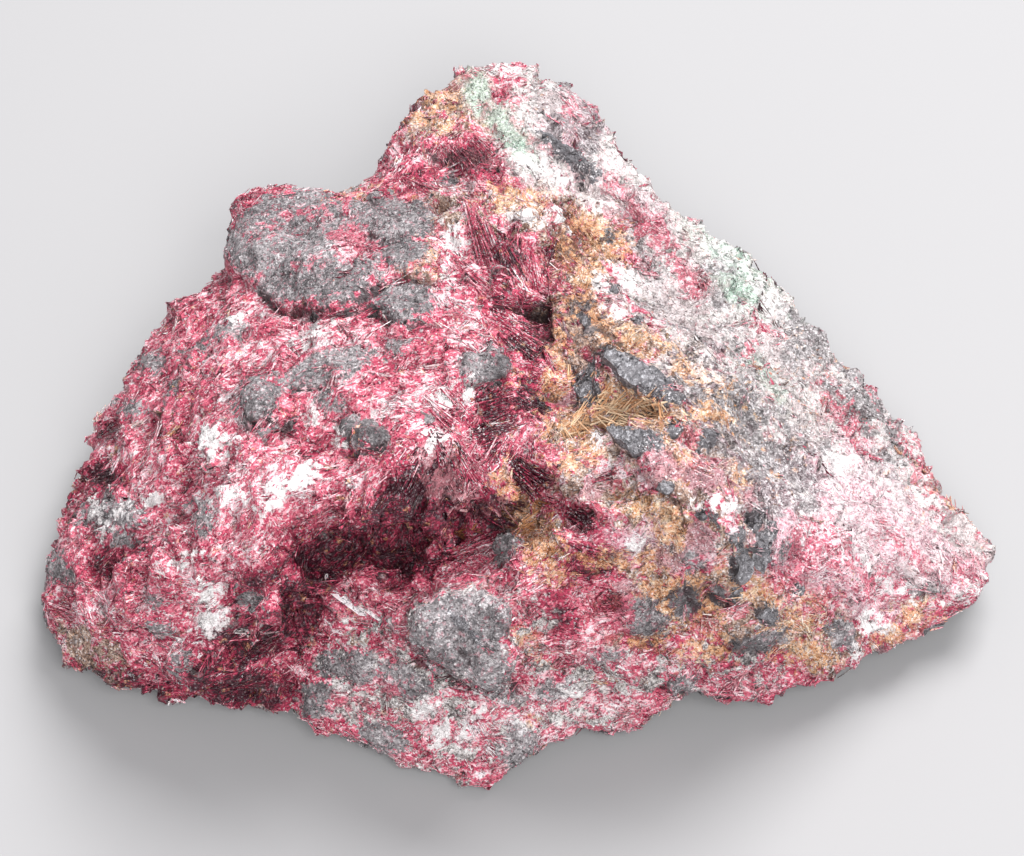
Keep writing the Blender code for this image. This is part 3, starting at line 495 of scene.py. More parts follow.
# The broken facets on lumps and plates: their size, and how far they reach
ROCK_LUMP_FACETS = [(2.2 * MM, 0.36 * MM), (0.5 * MM, 0.06 * MM)]
ORE_LUMP_FACETS = [(0.7 * MM, 0.10 * MM)]
ORE_PLATE_FACETS = [(0.8 * MM, 0.16 * MM), (0.3 * MM, 0.05 * MM)]

# Sprays of blades. Roots and tips are placed along the skin, and "apart" is how much their tones differ
SPRAYS = {
    # long, thin and nearly parallel
    "rose_fibres": {
        "sprays": 6400, "blades": 14, "long": (0.4 * MM, 1.9 * MM), "wide": (0.09 * MM, 0.24 * MM),
        "thick": 0.45, "fan": 0.22, "lift": (0.0, 0.35), "highest": 0.22 * MM, "root": 0.40 * MM,
        "stray": 0.35, "sunk": 0.08 * MM, "tints": 0.08, "apart": 0.35,
    },
    # short and broad, each with its own glint
    "rose_plates": {
        "sprays": 3600, "blades": 6, "long": (0.4 * MM, 1.1 * MM), "wide": (0.20 * MM, 0.45 * MM),
        "thick": 0.25, "fan": 0.5, "lift": (0.0, 0.4), "highest": 0.22 * MM, "root": 0.70 * MM,
        "stray": 0.5, "sunk": 0.10 * MM, "tints": 0.08, "apart": 0.35,
    },
    # thin and tangled
    "ochre_fibres": {
        "sprays": 9000, "blades": 12, "long": (0.5 * MM, 1.8 * MM), "wide": (0.09 * MM, 0.22 * MM),
        "thick": 0.5, "fan": 0.5, "lift": (0.05, 0.6), "highest": 0.40 * MM, "root": 0.45 * MM,
        "stray": 1.2, "sunk": 0.06 * MM, "tints": 0.13, "apart": 1.0,
    },
}
SPRAY_SHADES = 0.12
SPRAY_GROWTH = (0.6, 1.25)
ROOTS_ALONG = 1.6
BLADE_RISES = 0.10
LEAST_RISE = -0.05
MOST_RISE = 1.2
BLADE_ROLLS = 0.55

# Grains on the stony minerals. In streaked minerals they are long, and lie along the blades' way
GRAINS = {
    "grains": 92000, "across": (0.16 * MM, 0.44 * MM), "sides": (0.6, 1.2), "tints": 0.11,
    "large_share": 0.15, "large_factor": 1.5, "outward": 1.5, "lost_on_grey": 0.6,
    "streak_freedom": 0.3, "streak_growth": (-0.40, -0.40, 1.00),
}
MOST_IN_A_PIECE = 23000

# How much of each stony mineral is bare of blades
STONY = {
    "grey": 1.0, "ore": 1.0, "flank": 0.86, "brown": 0.72, "front": 0.55, "green": 0.95, "slate": 0.9,
    "quartz": 1.0, "ochre": 0.8,
}
WHITE_EDGE = 0.4
BLADES_ON_ROSE = 0.75
BLADES_ON_BLUSH = 0.45
BARE_GREY = 0.96
STRAW_SHARE = (0.10, 0.70)
STRAW_EDGE = 0.6

# The minerals' colours, from their darkest tone to their lightest
ROSE_STOPS = [
    (0.00, (0.050, 0.004, 0.014)),
    (0.22, (0.230, 0.012, 0.040)),
    (0.42, (0.520, 0.050, 0.110)),
    (0.60, (0.740, 0.180, 0.250)),
    (0.78, (0.900, 0.480, 0.540)),
    (1.00, (0.980, 0.900, 0.920)),
]
GREY_STOPS = [
    (0.00, (0.045, 0.042, 0.046)),
    (0.35, (0.150, 0.138, 0.144)),
    (0.70, (0.370, 0.335, 0.345)),
    (1.00, (0.900, 0.860, 0.870)),
]
ORE_STOPS = [
    (0.00, (0.050, 0.051, 0.057)),
    (0.60, (0.190, 0.180, 0.192)),
    (1.00, (0.560, 0.560, 0.590)),
]
# The painted shade of fine gaps and cracks, and the colour of painted glints
DARK_GAP = (0.035, 0.018, 0.022, 1.0)
LIGHT_GLINT = (0.93, 0.88, 0.90, 1.0)
QUARTZ_STOPS = [(0.00, (0.30, 0.25, 0.26)), (0.50, (0.58, 0.48, 0.48)), (1.00, (0.84, 0.78, 0.78))]
WHITE_STOPS = [(0.00, (0.62, 0.50, 0.50)), (0.40, (0.86, 0.79, 0.79)), (1.00, (0.98, 0.95, 0.94))]
OCHRE_STOPS = [
    (0.00, (0.110, 0.034, 0.016)),
    (0.30, (0.410, 0.150, 0.060)),
    (0.60, (0.760, 0.380, 0.185)),
    (1.00, (0.960, 0.750, 0.520)),
]
BROWN_STOPS = [
    (0.00, (0.070, 0.040, 0.030)),
    (0.35, (0.260, 0.150, 0.110)),
    (0.65, (0.560, 0.390, 0.310)),
    (1.00, (0.880, 0.780, 0.720)),
]
FLANK_STOPS = [
    (0.00, (0.110, 0.095, 0.095)),
    (0.25, (0.380, 0.340, 0.330)),
    (0.55, (0.740, 0.690, 0.670)),
    (1.00, (0.980, 0.965, 0.950)),
]
GREEN_STOPS = [(0.00, (0.14, 0.23, 0.18)), (0.50, (0.41, 0.57, 0.46)), (1.00, (0.74, 0.92, 0.81))]
MAUVE_STOPS = [(0.00, (0.085, 0.018, 0.026)), (0.50, (0.330, 0.110, 0.130)), (1.00, (0.700, 0.420, 0.450))]
BLUSH_STOPS = [
    (0.00, (0.200, 0.030, 0.060)),
    (0.30, (0.560, 0.200, 0.270)),
    (0.60, (0.780, 0.540, 0.590)),
    (1.00, (0.960, 0.890, 0.900)),
]
STOPS = {
    "rose": ROSE_STOPS, "flank": FLANK_STOPS, "brown": BROWN_STOPS, "grey": GREY_STOPS,
    "front": FLANK_STOPS, "quartz": QUARTZ_STOPS, "ore": ORE_STOPS, "white": WHITE_STOPS,
    "slate": GREY_STOPS, "ochre": OCHRE_STOPS, "blush": BLUSH_STOPS, "mauve": MAUVE_STOPS,
    "green": GREEN_STOPS,
}

# The rock's noises: their scale per metre and their detail
NOISES = {
    "wide_edge": (280.0, 4.0), "fine_edge": (900.0, 4.0), "blotch": (420.0, 3.0),
    "spots": (1700.0, 2.0), "cloud": (160.0, 2.0), "speckle": (1400.0, 3.0),
}
NOISE_ROUGHNESS = 0.7
# The part of each noise's range that is spread from 0 to 1
CLOUD_RANGE = (0.32, 0.68)
SPECKLE_RANGE = (0.34, 0.66)
BLOT_RANGE = (0.3, 0.7)
# Tufts of fibres: how many there are per metre, their fibres per metre, and how far their ways stray
TUFTS = {"long": (330.0, 5200.0, 0.7), "short": (950.0, 9000.0, 1.3), "packet": (240.0, 1700.0, 0.7)}
SHORT_FIBRES = 0.45
SHORT_TUFTS = 0.4
WANDER = {"Waves per m": 700.0, "Reach": 0.0012}
ROCK_GRAIN = {"Grains per m": 3800.0, "Roughening": 0.45}
ORE_GRAIN = {"Grains per m": 3000.0, "Roughening": 0.6}
SPECKS_PER_M = 6000.0

# The ragged edge of each mineral: its reach in millimetres, the noise that it follows and its softness
EDGES = {
    "deep": (4.8, "wide_edge", 0.9),
    "pale": (5.6, "wide_edge", 0.9),
    "flank": (6.4, "wide_edge", 0.5),
    "slate": (8.8, "wide_edge", 0.6),
    "rose": (6.4, "fine_edge", 0.25),
    "brown": (6.4, "wide_edge", 0.5),
    "front": (6.4, "wide_edge", 0.5),
    "ochre": (10.0, "fine_edge", 0.5),
    "green": (3.0, "blotch", 0.5),
    "grey": (4.4, "fine_edge", 0.12),
    "ore": (2.0, "fine_edge", 0.06),
    "white": (6.0, "fine_edge", 0.25),
    "quartz": (5.6, "blotch", 0.5),
    "blush": (6.4, "fine_edge", 0.7),
    "mauve": (3.6, "blotch", 0.2),
    "crack": (2.0, "fine_edge", 0.12),
}

# Each mineral's tone: its middle, and how strongly it follows each field. Shaded crimson darkens a tone as
# painted shade
FLECK_TONE = (0.50, {"packet": 0.60, "blot": 0.40, "pale": 0.12, "deep": -0.16})
PALE_FLECK = (0.60, 0.74)
DARK_FLECK = (0.38, 0.27)
# Pale patches lighten a tone; on the grey slab that lightening is a painted sheen
IN_PATCHES = {"pale": 0.12, "deep": -0.24}
TONES = {
    "rose": (0.375, {
        "fibre": 0.26, "packet": 0.28, "tuft": 0.12, "cloud": 0.10, "grain": 0.08, "speckle": 0.10,
        "pale": 0.07, "deep": -0.36, "pale_fleck": 0.26, "dark_fleck": -0.22,
    }),
    "flank": (0.375, {
        "grain": 0.24, "speckle": 0.26, "cloud": 0.34, **IN_PATCHES, "fibre": 0.34, "packet": 0.25,
    }),
    "brown": (0.40, {"grain": 0.70, "speckle": 0.50, "cloud": 0.25, **IN_PATCHES}),
    "grey": (0.41, {"grain": 0.50, "speckle": 0.42, "cloud": 0.34, **IN_PATCHES}),
    "front": (0.30, {"grain": 0.80, "speckle": 0.60, "cloud": 0.30, **IN_PATCHES}),
    "quartz": (0.49, {"grain": 0.25, "speckle": 0.20, "cloud": 0.30, **IN_PATCHES}),
    "ore": (0.39, {"grain": 0.50, "speckle": 0.30, "cloud": 0.20, **IN_PATCHES}),
    "white": (0.54, {"grain": 0.50, "speckle": 0.50, "cloud": 0.10, **IN_PATCHES}),
    "slate": (0.38, {"grain": 0.75, "speckle": 0.60, "cloud": 0.20, **IN_PATCHES}),
    "ochre": (0.57, {"fibre": 0.40, "speckle": 0.50, "grain": 0.30, "deep": -0.20}),
    "blush": (0.39, {"fibre": 0.80, "packet": 0.30, "speckle": 0.20, "deep": -0.30}),
    "mauve": (0.55, {"fibre": 0.50, "speckle": 0.25, "deep": -0.40}),
}
GREEN_LIFT = 0.12

# Where rose shows through the stony minerals: the noise's range, and the most that shows
FLECKS = (0.56, 0.62)
FLANK_BLOTS = (0.57, 0.64)
BROWN_BLOTS = (0.50, 0.56)
FRONT_BLOTS = (0.46, 0.50)
FRONT_BROWN = (0.56, 0.60)
ROSE_IN_FLANK = 0.45
ROSE_IN_GREY = 0.30
BROWN_IN_FRONT = 0.8

# The minerals over the rose stone, from the lowest up, and how much each hides of what is under it
LAYERS = {
    "flank": 1.0, "brown": 1.0, "front": 1.0, "blush": 0.8, "slate": 0.85, "ochre": 0.85,
    "green": 0.85, "quartz": 0.8, "grey": 1.0, "rose": 0.78, "mauve": 0.85, "white": 1.0, "ore": 1.0,
}
WHITE_LOST_IN_FLANK = 0.40

# How strongly the painted shade of gaps and cracks and the painted glints show, and how much of that is lost
# in some minerals
GAP_SHARE = 0.66
GAPS_LOST = {"white": 0.36, "flank": 0.20}
GLINT_SHARE = 0.58
GLINTS_LOST = {"deep": 0.45, "grey": 0.22}
CRACK_SHARE = 0.80

# Roughness, metal and the finest relief
LEAST_ROUGH = 0.26
SPECKLE_ROUGH = 0.3
GREY_ROUGH = 0.5
GREY_GLOSS = 0.25
ORE_ROUGH = 0.3
METAL_IN_ORE = 0.35
METAL_OF_ORE = 0.45
SPECKLE_RELIEF = 0.8
ROCK_RELIEF = {"distance": 0.16 * MM, "strength": 0.9}
ORE_RELIEF = {"distance": 0.12 * MM, "strength": 0.8}
STRAW_RELIEF = {"distance": 0.04 * MM, "strength": 0.6}
STRAW_RIPPLE = 0.42

# Minerals that stand out of the skin: the depths between which they rise, and how far
RISES = {"ore": (-0.1, 0.25, 0.45 * MM), "grey": (-0.15, 0.3, 0.25 * MM), "white": (-0.1, 0.2, 0.2 * MM)}
SKIN_GRAIN = {"Scale": 900.0, "Detail": 3.0, "Roughness": 0.6}
# Facets lose half their height on grey: the depths, and the shares of the height there
GREY_CALM = (-0.3, 0.7, 1.0, 0.5)

# The stage
FLOOR_SIZE = 4.0
FLOOR_COLOUR = (0.36, 0.355, 0.36, 1)
FLOOR_ROUGHNESS = 0.9
SKY_COLOUR = (0.42, 0.42, 0.44, 1)
LIT_CENTRE = (0, 0, 0.015)
# Soft lights: place, size and watts
LIGHTS = {"key": ((0.20, 0.34, 0.64), 0.40, 8.0), "front": ((0.12, -0.55, 0.55), 0.5, 6.5)}


# Depths and ways over the rock


def screen_places(points):
    """The photograph's pixels at which points of the rock show, as arrays of x and y."""
    off = points - np.array(SHOW_CENTRE)
    spread = PIXELS_PER_MM / MM * EYE_DISTANCE / (EYE_DISTANCE - off @ np.array(TO_EYE))
    return (
        PICTURE_CENTRE[0] + off @ np.array(ACROSS) * spread,
        PICTURE_CENTRE[1] - off @ np.array(UP) * spread,
    )


def smooth_step(value):
    """A smooth rise from 0 to 1."""
    share = np.clip(value, 0.0, 1.0)
    return share * share * (3.0 - 2.0 * share)


def slow_noise(points, size, shift):
    """Smooth noise from about -1 to 1 whose lumps are size across."""
    offset = Vector((shift, -shift, 0.5 * shift))
    return np.array([noise.noise(Vector(point) / size + offset) for point in points]) * NOISE_GAIN


def patch_depth(x, y, patches):
    """How far inside the nearest ellipse each pixel lies, in millimetres. It is negative outside."""
    deepest = np.full(len(x), -MOST_DEPTH)
    for centre_x, centre_y, length, width, turn in patches:
        angle = math.radians(turn)
        along = (x - centre_x) * math.cos(angle) - (y - centre_y) * math.sin(angle)
        beside = (x - centre_x) * math.sin(angle) + (y - centre_y) * math.cos(angle)
        radius = np.hypot(along * 2 / length, beside * 2 / width)
        depth = (1.0 - radius) * min(length, width) / 2 / PIXELS_PER_MM
        deepest = np.maximum(deepest, depth)
    return np.minimum(deepest, MOST_DEPTH)


def polygon_depth(x, y, corners):
    """How far inside a polygon each pixel lies, in millimetres. It is negative outside."""
    inside_it = np.zeros(len(x), bool)
    nearest = np.full(len(x), np.inf)
    for (x0, y0), (x1, y1) in zip(corners, corners[1:] + corners[:1]):
        run_x, run_y = x1 - x0, y1 - y0
        share = np.clip(((x - x0) * run_x + (y - y0) * run_y) / (run_x**2 + run_y**2), 0, 1)
        nearest = np.minimum(nearest, np.hypot(x - x0 - share * run_x, y - y0 - share * run_y))
        crossed = ((y0 > y) != (y1 > y)) & (x < x0 + run_x * (y - y0) / (run_y or 1e-9))
        inside_it ^= crossed
    return np.where(inside_it, nearest, -nearest) / PIXELS_PER_MM


def crack_depth(x, y):
    """How far inside the nearest of the cracks each pixel lies, in millimetres. It is negative outside."""
    deepest = np.full(len(x), -MOST_DEPTH)
    for line, breadth in CRACKS:
        for (x0, y0), (x1, y1) in zip(line, line[1:]):
            run_x, run_y = x1 - x0, y1 - y0
            share = np.clip(((x - x0) * run_x + (y - y0) * run_y) / (run_x**2 + run_y**2), 0, 1)
            away = np.hypot(x - x0 - share * run_x, y - y0 - share * run_y)
            deepest = np.maximum(deepest, (breadth / 2 - away) / PIXELS_PER_MM)
    return deepest


def seen_share(points, facing):
    """How far each point counts as one that the photograph shows, from 0 to 1."""
    share = smooth_step((facing @ np.array(TO_EYE) - SEEN_FROM) / SEEN_OVER)
    x, y = screen_places(points)
    in_cleft = (patch_depth(x, y, CLEFT) > 0) & (points[:, 2] > CLEFT_FLOOR)
    return np.maximum(share, in_cleft)


def step_heights(points, facing):
    """How far plates and gaps lift or sink the skin at each point, in metres."""
    x, y = screen_places(points)
    seen = seen_share(points, facing)
    height = np.zeros(len(points))
    for corners, rise in STEPS:
        height += rise * MM * smooth_step(polygon_depth(x, y, corners) / STEP_EDGE + 0.5)
    height -= CRACK_DEPTH * smooth_step(crack_depth(x, y) / CRACK_EDGE + 0.5)
    return height * seen


def mineral_fields(points, facing):
    """For each point and each mineral, the depth inside it in millimetres, negative outside."""
    x, y = screen_places(points)
    seen = seen_share(points, facing)
    fields = {}
    for number, (name, patches) in enumerate(PATCHES.items()):
        level, size = HIDDEN_SIDES[name]
        hidden = (slow_noise(points, size * MM, NOISE_STEP * number) - level) * size / 2
        hidden = np.clip(hidden, -MOST_DEPTH, MOST_DEPTH)
        fields[name] = patch_depth(x, y, patches) * seen + hidden * (1.0 - seen)
    # On the hidden sides, cracks with their painted shadow follow slow noise
    beside_crack = np.abs(slow_noise(points, HIDDEN_CRACK_SIZE, CRACK_NOISE)) * HIDDEN_CRACK_STEEPNESS
    hidden = np.clip(HIDDEN_CRACK_BREADTH - beside_crack, -MOST_DEPTH, MOST_DEPTH)
    fields["crack"] = crack_depth(x, y) * seen + hidden * (1.0 - seen)
    return fields


def grain_ways(points, facing):
    """The unit way that blades run at each point, along the surface."""
    x, y = screen_places(points)
    total = np.zeros((len(points), 2))
    for marker_x, marker_y, turn in GRAIN:
        near = 1.0 / ((x - marker_x) ** 2 + (y - marker_y) ** 2 + MARKER_CORE) ** MARKER_FALL
        doubled = math.radians(2 * turn)
        total += near[:, None] * np.array([math.cos(doubled), math.sin(doubled)])
    angle = np.arctan2(total[:, 1], total[:, 0]) / 2
    seen = seen_share(points, facing)
    angle += (1.0 - seen) * slow_noise(points, HIDDEN_GRAIN_SIZE, GRAIN_NOISE) * HIDDEN_GRAIN_TURN
    ways = np.cos(angle)[:, None] * np.array(ACROSS) + np.sin(angle)[:, None] * np.array(UP)
    ways -= np.sum(ways * facing, axis=1)[:, None] * facing
    return ways / (np.linalg.norm(ways, axis=1)[:, None] + 1e-9)


# Node trees


def put(tree, kind, inputs=None, **settings):
    """A node with its settings, whose inputs are given as values or as the sockets to link."""
    node = tree.nodes.new(kind)
    for name, value in settings.items():
        setattr(node, name, value)
    for key, value in (inputs or {}).items():
        if isinstance(value, bpy.types.NodeSocket):
            tree.links.new(value, node.inputs[key])
        else:
            node.inputs[key].default_value = value
    return node


def maths(tree, operation, first, second=0.0, third=0.0, clamp=False):
    """The result of a sum of one, two or three values."""
    node = put(tree, "ShaderNodeMath", {0: first, 1: second, 2: third}, operation=operation)
    node.use_clamp = clamp
    return node.outputs[0]


def arrows(tree, operation, first, second=(0.0, 0.0, 0.0)):
    """Vector maths whose result is a vector."""
    return put(tree, "ShaderNodeVectorMath", {0: first, 1: second}, operation=operation).outputs["Vector"]


def dot(tree, first, second):
    """How far one vector runs along another."""
    node = put(tree, "ShaderNodeVectorMath", {0: first, 1: second}, operation="DOT_PRODUCT")
    return node.outputs["Value"]


def scaled(tree, vector, factor):
    """A vector made longer or shorter."""
    node = put(tree, "ShaderNodeVectorMath", {0: vector, "Scale": factor}, operation="SCALE")
    return node.outputs["Vector"]


def blended(tree, share, low, high):
    """A mix of two colours."""
    node = put(tree, "ShaderNodeMix", {0: share, 6: low, 7: high}, data_type="RGBA")
    return node.outputs[2]


def blended_value(tree, share, low, high):
    """A mix of two values."""
    return put(tree, "ShaderNodeMix", {0: share, 2: low, 3: high}, data_type="FLOAT").outputs[0]


def ramp(tree, share, stops):
    """A colour ramp through (place, colour) stops."""
    node = put(tree, "ShaderNodeValToRGB", {0: share})
    elements = node.color_ramp.elements
    while len(elements) < len(stops):
        elements.new(0.5)
    for element, (place, colour) in zip(elements, stops):
        element.position = place
        element.color = (*colour, 1.0)
    return node.outputs["Color"]


def spread_over(tree, value, low, high, to_low=0.0, to_high=1.0):
    """A value moved from one range to another, and held inside it."""
    node = put(tree, "ShaderNodeMapRange", {0: value, 1: low, 2: high, 3: to_low, 4: to_high})
    return node.outputs[0]


def painted(tree, name, kind="Fac"):
    """What is written on the mesh under a name, for a material."""
    return put(tree, "ShaderNodeAttribute", attribute_name=name).outputs[kind]


def written(tree, name, kind="FLOAT"):
    """The same for Geometry Nodes."""
    node = put(tree, "GeometryNodeInputNamedAttribute", {"Name": name}, data_type=kind)
    return node.outputs["Attribute"]


def from_group(tree, group, values):
    """The outputs of a shader group whose inputs are given by name."""
    return put(tree, "ShaderNodeGroup", values, node_tree=group).outputs


def bumped(tree, shader, height, distance, strength):
    """Links a fine relief to a shader."""
    inputs = {"Height": height, "Distance": distance, "Strength": strength}
    bump = put(tree, "ShaderNodeBump", inputs)
    tree.links.new(bump.outputs["Normal"], shader.inputs["Normal"])


def new_material(name):
    """A material with its node tree and its shader."""
    material = bpy.data.materials.new(name)
    material.use_nodes = True
    tree = material.node_tree
    return material, tree, tree.nodes["Principled BSDF"]


def new_group(name, kind, inputs, outputs):
    """A node group with named sockets. Returns the tree, its inputs and its output node."""
    tree = bpy.data.node_groups.new(name, kind)
    for socket_name, socket_type, value in inputs:
        socket = tree.interface.new_socket(socket_name, in_out="INPUT", socket_type=socket_type)
        if value is not None:
            socket.default_value = value
    for socket_name, socket_type in outputs:
        tree.interface.new_socket(socket_name, in_out="OUTPUT", socket_type=socket_type)
    entry = tree.nodes.new("NodeGroupInput")
    leave = tree.nodes.new("NodeGroupOutput")
    return tree, entry.outputs, leave


def fibre_tufts_group():
    """Shader group: the skin in tufts, each with straight fibres that run near the grain's way."""
    tree, given, leave = new_group(
        "fibre_tufts",
        "ShaderNodeTree",
        [
            ("Place", "NodeSocketVector", None),
            ("Way", "NodeSocketVector", None),
            ("Tufts per m", "NodeSocketFloat", 400.0),
            ("Fibres per m", "NodeSocketFloat", 6000.0),
            ("Length share", "NodeSocketFloat", 0.12),
            ("Stray", "NodeSocketFloat", 0.8),
        ],
        [("Fibre", "NodeSocketFloat"), ("Tuft", "NodeSocketFloat")],
    )
    place = given["Place"]
    cells = put(tree, "ShaderNodeTexVoronoi", {"Vector": place, "Scale": given["Tufts per m"]})
    stray = scaled(tree, arrows(tree, "SUBTRACT", cells.outputs["Color"], (0.5, 0.5, 0.5)), given["Stray"])
    way = arrows(tree, "NORMALIZE", arrows(tree, "ADD", given["Way"], stray))
    local = arrows(tree, "SUBTRACT", place, cells.outputs["Position"])
    run = maths(tree, "MULTIPLY", dot(tree, local, way), maths(tree, "SUBTRACT", 1.0, given["Length share"]))
    squeezed = arrows(tree, "SUBTRACT", local, scaled(tree, way, run))
    far_off = scaled(tree, cells.outputs["Color"], 3.0)
    fibres = put(
        tree,
        "ShaderNodeTexNoise",
        {
            "Vector": arrows(tree, "ADD", squeezed, far_off),
            "Scale": given["Fibres per m"],
            "Detail": 2.5,
            "Roughness": 0.62,
        },
    )
    tuft = put(tree, "ShaderNodeSeparateColor", {0: cells.outputs["Color"]}).outputs[0]
    tree.links.new(spread_over(tree, fibres.outputs["Fac"], 0.30, 0.70), leave.inputs["Fibre"])
    tree.links.new(tuft, leave.inputs["Tuft"])
    return tree


def wandering_place_group():
    """Shader group: the place, pushed about by smooth noise, so that nothing runs quite straight."""
    tree, given, leave = new_group(
        "wandering_place",
        "ShaderNodeTree",
        [
            ("Place", "NodeSocketVector", None),
            ("Waves per m", "NodeSocketFloat", 700.0),
            ("Reach", "NodeSocketFloat", 0.0012),
        ],
        [("Place", "NodeSocketVector")],
    )
    inputs = {"Vector": given["Place"], "Scale": given["Waves per m"], "Detail": 1.5}
    wander = put(tree, "ShaderNodeTexNoise", inputs)
    pushed = arrows(tree, "SUBTRACT", wander.outputs["Color"], (0.5, 0.5, 0.5))
    place = arrows(tree, "ADD", given["Place"], scaled(tree, pushed, given["Reach"]))
    tree.links.new(place, leave.inputs["Place"])
    return tree


def ragged_mask_group():
    """Shader group: a patch of mineral with a ragged edge, from the depth inside it and a noise."""
    tree, given, leave = new_group(
        "ragged_patch",
        "ShaderNodeTree",
        [
            ("Depth", "NodeSocketFloat", 0.0),
            ("Noise", "NodeSocketFloat", 0.5),
            ("Raggedness in mm", "NodeSocketFloat", 4.0),
            ("Softness", "NodeSocketFloat", 0.15),
        ],
        [("Mask", "NodeSocketFloat")],
    )
    shift = maths(tree, "SUBTRACT", given["Noise"], 0.5)
    moved = maths(tree, "MULTIPLY_ADD", shift, given["Raggedness in mm"], given["Depth"])
    low = maths(tree, "MULTIPLY", given["Softness"], -1.0)
    tree.links.new(spread_over(tree, moved, low, given["Softness"]), leave.inputs["Mask"])
    return tree


def grit_group():
    """Shader group: the finest specks as two masks, painted shade in dark gaps and painted glints."""
    tree, given, leave = new_group(
        "fine_grit",
        "ShaderNodeTree",
        [("Place", "NodeSocketVector", None), ("Specks per m", "NodeSocketFloat", 6000.0)],
        [("Gap", "NodeSocketFloat"), ("Glint", "NodeSocketFloat")],
    )
    cells = put(tree, "ShaderNodeTexVoronoi", {"Vector": given["Place"], "Scale": given["Specks per m"]})
    parts = put(tree, "ShaderNodeSeparateColor", {0: cells.outputs["Color"]})
    tree.links.new(spread_over(tree, parts.outputs[0], 0.24, 0.06), leave.inputs["Gap"])
    tree.links.new(spread_over(tree, parts.outputs[1], 0.80, 0.96), leave.inputs["Glint"])
    return tree


def grains_group():
    """Shader group: fine angular grains, each with its own tone."""
    tree, given, leave = new_group(
        "mineral_grains",
        "ShaderNodeTree",
        [
            ("Place", "NodeSocketVector", None),
            ("Grains per m", "NodeSocketFloat", 3500.0),
            ("Roughening", "NodeSocketFloat", 0.4),
        ],
        [("Tone", "NodeSocketFloat"), ("Height", "NodeSocketFloat"), ("Glint", "NodeSocketFloat")],
    )
    cells = put(tree, "ShaderNodeTexVoronoi", {"Vector": given["Place"], "Scale": given["Grains per m"]})
    parts = put(tree, "ShaderNodeSeparateColor", {0: cells.outputs["Color"]})
    dust = put(
        tree,
        "ShaderNodeTexNoise",
        {"Vector": given["Place"], "Scale": 2600.0, "Detail": 3.0, "Roughness": 0.7},
    )
    fine = spread_over(tree, dust.outputs["Fac"], 0.3, 0.7)
    tone = blended_value(tree, given["Roughening"], parts.outputs[0], fine)
    tree.links.new(tone, leave.inputs["Tone"])
    height = maths(tree, "ADD", maths(tree, "MULTIPLY", parts.outputs[1], 0.6), fine)
    tree.links.new(height, leave.inputs["Height"])
    glint = maths(tree, "GREATER_THAN", parts.outputs[2], 0.9)
    tree.links.new(glint, leave.inputs["Glint"])
    return tree


def blade_tone_group():
    """Shader group: the tone of a blade, from its own tint and from lines along it, made darker as painted
    shade in shaded crimson patches and lighter in pale ones.
    """
    tree, given, leave = new_group(
        "blade_tone",
        "ShaderNodeTree",
        [
            ("Own", "NodeSocketVector", None),
            ("Tint", "NodeSocketFloat", 0.0),
            ("Deep", "NodeSocketFloat", 0.0),
            ("Pale", "NodeSocketFloat", 0.0),
            ("Ripple", "NodeSocketFloat", 0.35),
        ],
        [("Tone", "NodeSocketFloat"), ("Line", "NodeSocketFloat"), ("Roughness", "NodeSocketFloat")],
    )
    stretched = arrows(tree, "MULTIPLY", given["Own"], (5.0, 5.0, 3.5))
    apart = scaled(tree, (71.0, 37.0, 53.0), given["Tint"])
    place = arrows(tree, "ADD", stretched, apart)
    inputs = {"Vector": place, "Scale": 1.0, "Detail": 4.0, "Roughness": 0.7}
    lines = put(tree, "ShaderNodeTexNoise", inputs)
    line = spread_over(tree, lines.outputs["Fac"], 0.3, 0.7)
    tone = maths(tree, "MULTIPLY_ADD", maths(tree, "SUBTRACT", line, 0.5), given["Ripple"], 0.52)
    tone = maths(tree, "MULTIPLY_ADD", given["Tint"], 1.0, tone)
    tone = maths(tree, "MULTIPLY_ADD", spread_over(tree, given["Deep"], -0.6, 0.6), -0.40, tone)
    tone = maths(tree, "MULTIPLY_ADD", spread_over(tree, given["Pale"], -0.6, 0.6), 0.12, tone)
    tree.links.new(tone, leave.inputs["Tone"])
    tree.links.new(line, leave.inputs["Line"])
    tree.links.new(spread_over(tree, line, 0.0, 1.0, 0.18, 0.5), leave.inputs["Roughness"])
    return tree


def rock_fields(tree, groups):
    """The fields that the rock's colours follow: fibres, grains, clouds, specks and more, by name."""
    place = put(tree, "ShaderNodeTexCoord").outputs["Object"]
    way = painted(tree, "way", "Vector")
    wandering = from_group(tree, groups["wander"], {"Place": place, **WANDER})["Place"]
    tufts = {}
    for name, (tufts_per_m, fibres_per_m, stray) in TUFTS.items():
        values = {"Tufts per m": tufts_per_m, "Fibres per m": fibres_per_m, "Stray": stray}
        tufts[name] = from_group(tree, groups["tufts"], {"Place": wandering, "Way": way, **values})
    fields = {}
    for name, (per_m, detail) in NOISES.items():
        inputs = {"Vector": place, "Scale": per_m, "Detail": detail, "Roughness": NOISE_ROUGHNESS}
        fields[name] = put(tree, "ShaderNodeTexNoise", inputs).outputs["Fac"]
    grains = from_group(tree, groups["grains"], {"Place": place, **ROCK_GRAIN})
    grit = from_group(tree, groups["grit"], {"Place": place, "Specks per m": SPECKS_PER_M})
    long, short = tufts["long"], tufts["short"]
    fields.update({
        "tint": painted(tree, "tint"),
        "cloud": spread_over(tree, fields["cloud"], *CLOUD_RANGE),
        "speckle": spread_over(tree, fields["speckle"], *SPECKLE_RANGE),
        "blot": spread_over(tree, fields["blotch"], *BLOT_RANGE),
        "fibre": blended_value(tree, SHORT_FIBRES, long["Fibre"], short["Fibre"]),
        "tuft": blended_value(tree, SHORT_TUFTS, long["Tuft"], short["Tuft"]),
        "long_fibre": long["Fibre"],
        "packet": tufts["packet"]["Fibre"],
        "grain": grains["Tone"],
        "grain_glint": grains["Glint"],
        "gap": grit["Gap"],
        "glint": grit["Glint"],
    })
    return fields


